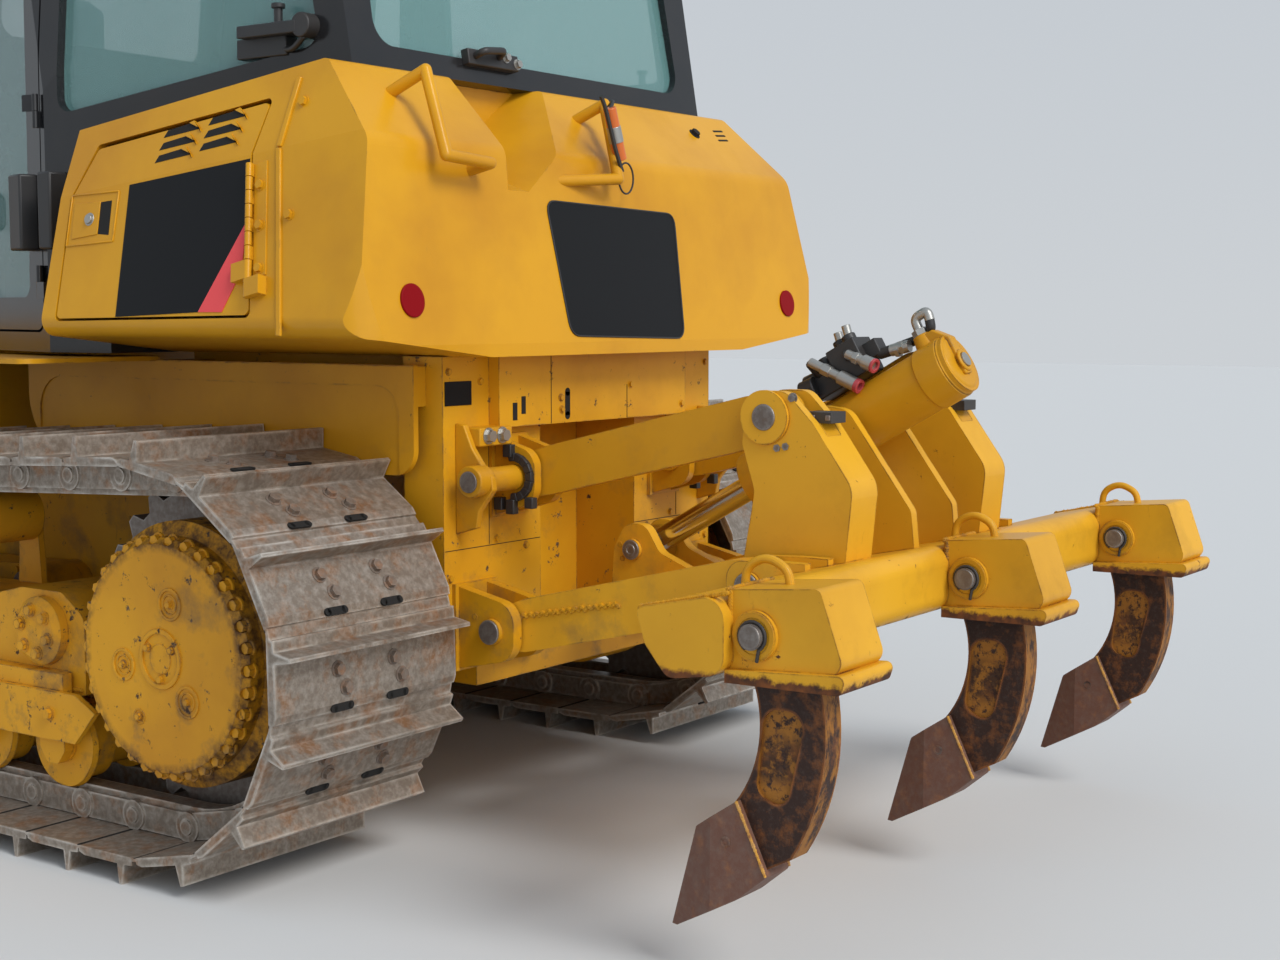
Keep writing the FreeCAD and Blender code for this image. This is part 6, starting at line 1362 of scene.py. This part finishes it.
def on_corner(side, part, z, proud=0.0):
    """Place on the cab's front corner, part of the way from the door to the windscreen."""
    start, end = Vector((0.580, 1.400)), Vector((0.450, 1.490))
    here = start.lerp(end, part)
    way = (end - start).normalized()
    return spot(side * (here.x + way.y * proud), here.y - way.x * proud, z)


# Hood and radiator guard
HOOD_HALF = 0.400
GUARD_HALF, GUARD_FRONT, GUARD_TOP = 0.420, 2.700, 1.812


class BULLDOZER_OT_hood(bpy.types.Operator):
    """Louvres, latches, pre-cleaner, exhaust bands and flap, and guard bolts."""
    bl_idname = "bulldozer.hood"
    bl_label = "Hood"

    def execute(self, context):
        for side_name, side in SIDES:
            body = "engine_door_" + side_name
            outward = (side, 0.0, 0.0)
            face = side * HOOD_HALF
            # dark slots in the hood's louvres: painted shade in the openings
            vent_shade = [(spot(face, y, z), outward, (0.0, 1.0, 0.0))
                     for y in (1.70, 1.86, 2.02) for z in (1.080 + 0.045 * step for step in range(7))]
            grown("hood_louvres_" + side_name, trees["slot"], points(vent_shade),
                  {"Length": 0.11, "Radius": 0.008, "Depth": 0.002}, body, "dark")
            caps = Shape()
            for y in (1.70, 1.86, 2.02):
                for step in range(7):
                    z = 1.080 + 0.045 * step
                    caps.slab([spot(face, y - 0.058, z + 0.016), spot(face, y - 0.058, z + 0.008),
                               spot(face + side * 0.010, y - 0.058, z + 0.002), spot(face + side * 0.010, y - 0.058, z + 0.006)],
                              (0, 0.116, 0))
            caps.piece("louvre_caps_" + side_name, body, "body")
            panel = Shape()
            panel.box(*corners_of(face, face + side * 0.0012, 1.66, 2.13, 1.44, 1.56))
            panel.piece("hood_panel_" + side_name, body, "panel")
            latches = Shape()
            for z in (1.12, 1.50):
                latches.washer(spot(face, 2.185, z), spot(face + side * 0.004, 2.185, z), 0.012, 0.022)
                latches.rod(spot(face, 2.185, z), spot(face + side * 0.003, 2.185, z), 0.011)
            latches.piece("hood_latches_" + side_name, body, "zinc", bevel=0.0006)
            pin = pin_line(side, (0.411, 1.563, 1.040), (0.411, 1.563, 1.600), (1.0, 0.0, 0.0))
            for way, owner, low in ((1, "root", 0.448), (-1, body, 0.4903)):
                half = Shape()
                hinge_leaf(half, pin, low, low + 0.042, way)
                half.piece("hood_hinge_" + owner + "_" + side_name, owner, "body", bevel=0.0006)
            seam = [(spot(side * HOOD_HALF, y, 1.780), outward) for y in (1.56, 1.80, 2.04, 2.28, 2.42)]
            bolts("hood_bolts_" + side_name, seam, 0.009, "root", "body")
            guard = [(spot(side * GUARD_HALF, y, z), outward) for y in (2.50, 2.67)
                     for z in (0.82, 0.98, 1.14, 1.62, 1.76)]
            bolts("guard_side_bolts_" + side_name, guard, 0.011, "root", "work")
        front = [(spot(x, GUARD_FRONT, z), (0.0, 1.0, 0.0)) for x in (-0.395, 0.395)
                 for z in (0.80, 0.96, 1.12, 1.28, 1.44, 1.60, 1.76)]
        bolts("guard_front_bolts", front, 0.011, "root", "work")
        x, y, top = -0.190, 1.850, 2.420
        pipe = Shape()
        for z in (1.92, 2.02, 2.36):
            pipe.washer(spot(x, y, z), spot(x, y, z + 0.016), 0.0562, 0.0605, sides=36)
        pipe.piece("exhaust_bands", "root", "steel", bevel=0.0015)
        flap = Shape()
        flap.rod(spot(x, y, top + 0.002), spot(x, y, top + 0.007), 0.061, sides=36)
        flap.rod(spot(x - 0.045, y - 0.062, top - 0.006), spot(x + 0.045, y - 0.062, top - 0.006), 0.010)
        flap.box(spot(x - 0.030, y - 0.070, top - 0.004), spot(x + 0.030, y - 0.045, top + 0.006))
        flap.piece("exhaust_flap", "root", "steel", bevel=0.001)
        intake = Shape()
        rise = 1.925
        intake.rod(spot(0.19, 1.85, rise - 0.03), spot(0.19, 1.85, rise + 0.12), 0.052, sides=36)
        intake.rod(spot(0.19, 1.85, rise + 0.12), spot(0.19, 1.85, rise + 0.16), 0.052, end_radius=0.098, sides=36)
        intake.rod(spot(0.19, 1.85, rise + 0.16), spot(0.19, 1.85, rise + 0.30), 0.098, sides=36)
        intake.rod(spot(0.19, 1.85, rise + 0.30), spot(0.19, 1.85, rise + 0.33), 0.098, end_radius=0.060, sides=36)
        intake.piece("air_intake", "root", "plastic", bevel=0.004)
        return {"FINISHED"}


# Blade and its frame
class BULLDOZER_OT_blade(bpy.types.Operator):
    """Bolts of the cutting edge, weld beads of the blade, and pin bosses and bolts on its arms."""
    bl_idname = "bulldozer.blade"
    bl_label = "Blade"

    def execute(self, context):
        ahead = Vector((0.0, 1.0, -0.42)).normalized()
        heads = []
        for step in range(-7, 8):
            x = 0.092 + 0.1845 * step
            for shift in (-0.04, 0.04):
                heads.append((spot(x - 0.092 + shift, edge_y(0.085), 0.085), ahead))
        bolts("edge_bolts", heads, 0.013, "blade", "steel", height=0.006)
        seams = []
        for x in (-1.000, -0.620, 0.620, 1.000):
            for half in (-0.012, 0.012):
                seams.append([spot(x + half, 3.972, 0.700), spot(x + half, 4.045, 0.925)])
        beads("blade_beads", seams, "blade", "work")
        for side_name, side in SIDES:
            boss = Shape()
            for y, z in ((1.150, 0.480),):
                boss.washer(spot(side * 0.5695, y, z), spot(side * 0.5735, y, z), 0.040, 0.066)
                boss.rod(spot(side * 0.5695, y, z), spot(side * 0.5755, y, z), 0.034)
            boss.piece("arm_pin_" + side_name, "blade_frame", "steel", bevel=0.0015)
            arm = [(spot(side * 0.5605, y, z), (side, 0.0, 0.0)) for y, z in ((1.10, 0.54), (1.20, 0.54), (1.10, 0.42), (1.20, 0.42))]
            bolts("arm_bolts_" + side_name, arm, 0.011, "blade_frame", "work")
        return {"FINISHED"}


def edge_y(z):
    """y of the cutting edge's front face at a height."""
    return 4.330 - (z - 0.022) / (0.130 - 0.022) * 0.040


# Stage
class BULLDOZER_OT_stage(bpy.types.Operator):
    """Pale floor, soft light and the camera."""
    bl_idname = "bulldozer.stage"
    bl_label = "Stage"

    def execute(self, context):
        floor_material = bpy.data.materials.new("floor")
        floor_material.use_nodes = True
        shader = floor_material.node_tree.nodes["Principled BSDF"]
        shader.inputs["Base Color"].default_value = (0.62, 0.62, 0.61, 1.0)
        shader.inputs["Roughness"].default_value = 0.9
        data = bpy.data.meshes.new("floor")
        reach = 40.0
        data.from_pydata([(-reach, -reach, 0), (reach, -reach, 0), (reach, reach, 0), (-reach, reach, 0)], [],
                         [(0, 1, 2, 3)])
        floor = bpy.data.objects.new("floor", data)
        data.materials.append(floor_material)
        context.scene.collection.objects.link(floor)
        world = bpy.data.worlds.new("sky")
        world.use_nodes = True
        context.scene.world = world
        tree = world.node_tree
        back = tree.nodes["Background"]
        up = node(tree, "ShaderNodeTexCoord")
        parts = node(tree, "ShaderNodeSeparateXYZ", {0: up.outputs["Generated"]})
        rise = node(tree, "ShaderNodeMapRange", {"Value": parts.outputs["Z"], "From Min": 0.0, "From Max": 0.6})
        sky = node(tree, "ShaderNodeMix", {"Factor": rise.outputs[0]}, data_type="RGBA")
        sky.inputs[6].default_value = (0.80, 0.84, 0.88, 1.0)
        sky.inputs[7].default_value = (0.62, 0.70, 0.80, 1.0)
        tree.links.new(sky.outputs[2], back.inputs["Color"])
        back.inputs["Strength"].default_value = 0.75
        for name, aim, energy, angle in (("sun", (0.15, 0.75, -0.75), 1.9, 24.0), ("fill", (0.35, 0.9, -0.22), 0.9, 60.0)):
            light = bpy.data.lights.new(name, "SUN")
            light.energy = energy
            light.angle = math.radians(angle)
            lamp = bpy.data.objects.new(name, light)
            lamp.rotation_euler = Vector(aim).to_track_quat("-Z", "Y").to_euler()
            context.scene.collection.objects.link(lamp)
        lens = bpy.data.cameras.new("camera")
        lens.sensor_width = 36.0
        lens.lens = 1862.04 / 1280 * lens.sensor_width
        camera = bpy.data.objects.new("camera", lens)
        camera.location = spot(-3.79205, -3.18331, 1.25543)
        yaw, pitch = math.radians(34.987), math.radians(-5.14)
        aim = Vector((math.cos(yaw) * math.cos(pitch), math.sin(yaw) * math.cos(pitch), math.sin(pitch)))
        camera.rotation_euler = aim.to_track_quat("-Z", "Y").to_euler()
        lens.clip_end = 200.0
        context.scene.collection.objects.link(camera)
        context.scene.camera = camera
        context.scene.view_settings.view_transform = "Standard"
        return {"FINISHED"}


OPERATORS = (
    BULLDOZER_OT_finishes, BULLDOZER_OT_tracks, BULLDOZER_OT_drive_covers, BULLDOZER_OT_track_frames,
    BULLDOZER_OT_side_doors, BULLDOZER_OT_rear_face, BULLDOZER_OT_rear_wall, BULLDOZER_OT_ripper,
    BULLDOZER_OT_ripper_cylinder, BULLDOZER_OT_cab, BULLDOZER_OT_hood, BULLDOZER_OT_blade, BULLDOZER_OT_stage,
)


class BULLDOZER_PT_panel(bpy.types.Panel):
    """Settings and steps of the bulldozer's finishes."""
    bl_idname = "BULLDOZER_PT_panel"
    bl_label = "Bulldozer"
    bl_space_type = "VIEW_3D"
    bl_region_type = "UI"
    bl_category = "Bulldozer"

    def draw(self, context):
        for group in (context.scene.bulldozer_colours, context.scene.bulldozer_sizes):
            box = self.layout.box()
            for key in group.bl_rna.properties.keys():
                if key not in ("name", "rna_type"):
                    box.prop(group, key)
        for operator in OPERATORS:
            self.layout.operator(operator.bl_idname)


CLASSES = (BulldozerColours, BulldozerSizes, *OPERATORS, BULLDOZER_PT_panel)


def register():
    for item in CLASSES:
        bpy.utils.register_class(item)
    bpy.types.Scene.bulldozer_colours = bpy.props.PointerProperty(type=BulldozerColours)
    bpy.types.Scene.bulldozer_sizes = bpy.props.PointerProperty(type=BulldozerSizes)


def unregister():
    del bpy.types.Scene.bulldozer_sizes
    del bpy.types.Scene.bulldozer_colours
    for item in reversed(CLASSES):
        bpy.utils.unregister_class(item)


def main():
    register()
    for operator in OPERATORS:
        group, name = operator.bl_idname.split(".")
        getattr(getattr(bpy.ops, group), name)()


if __name__ == "__main__":
    main()
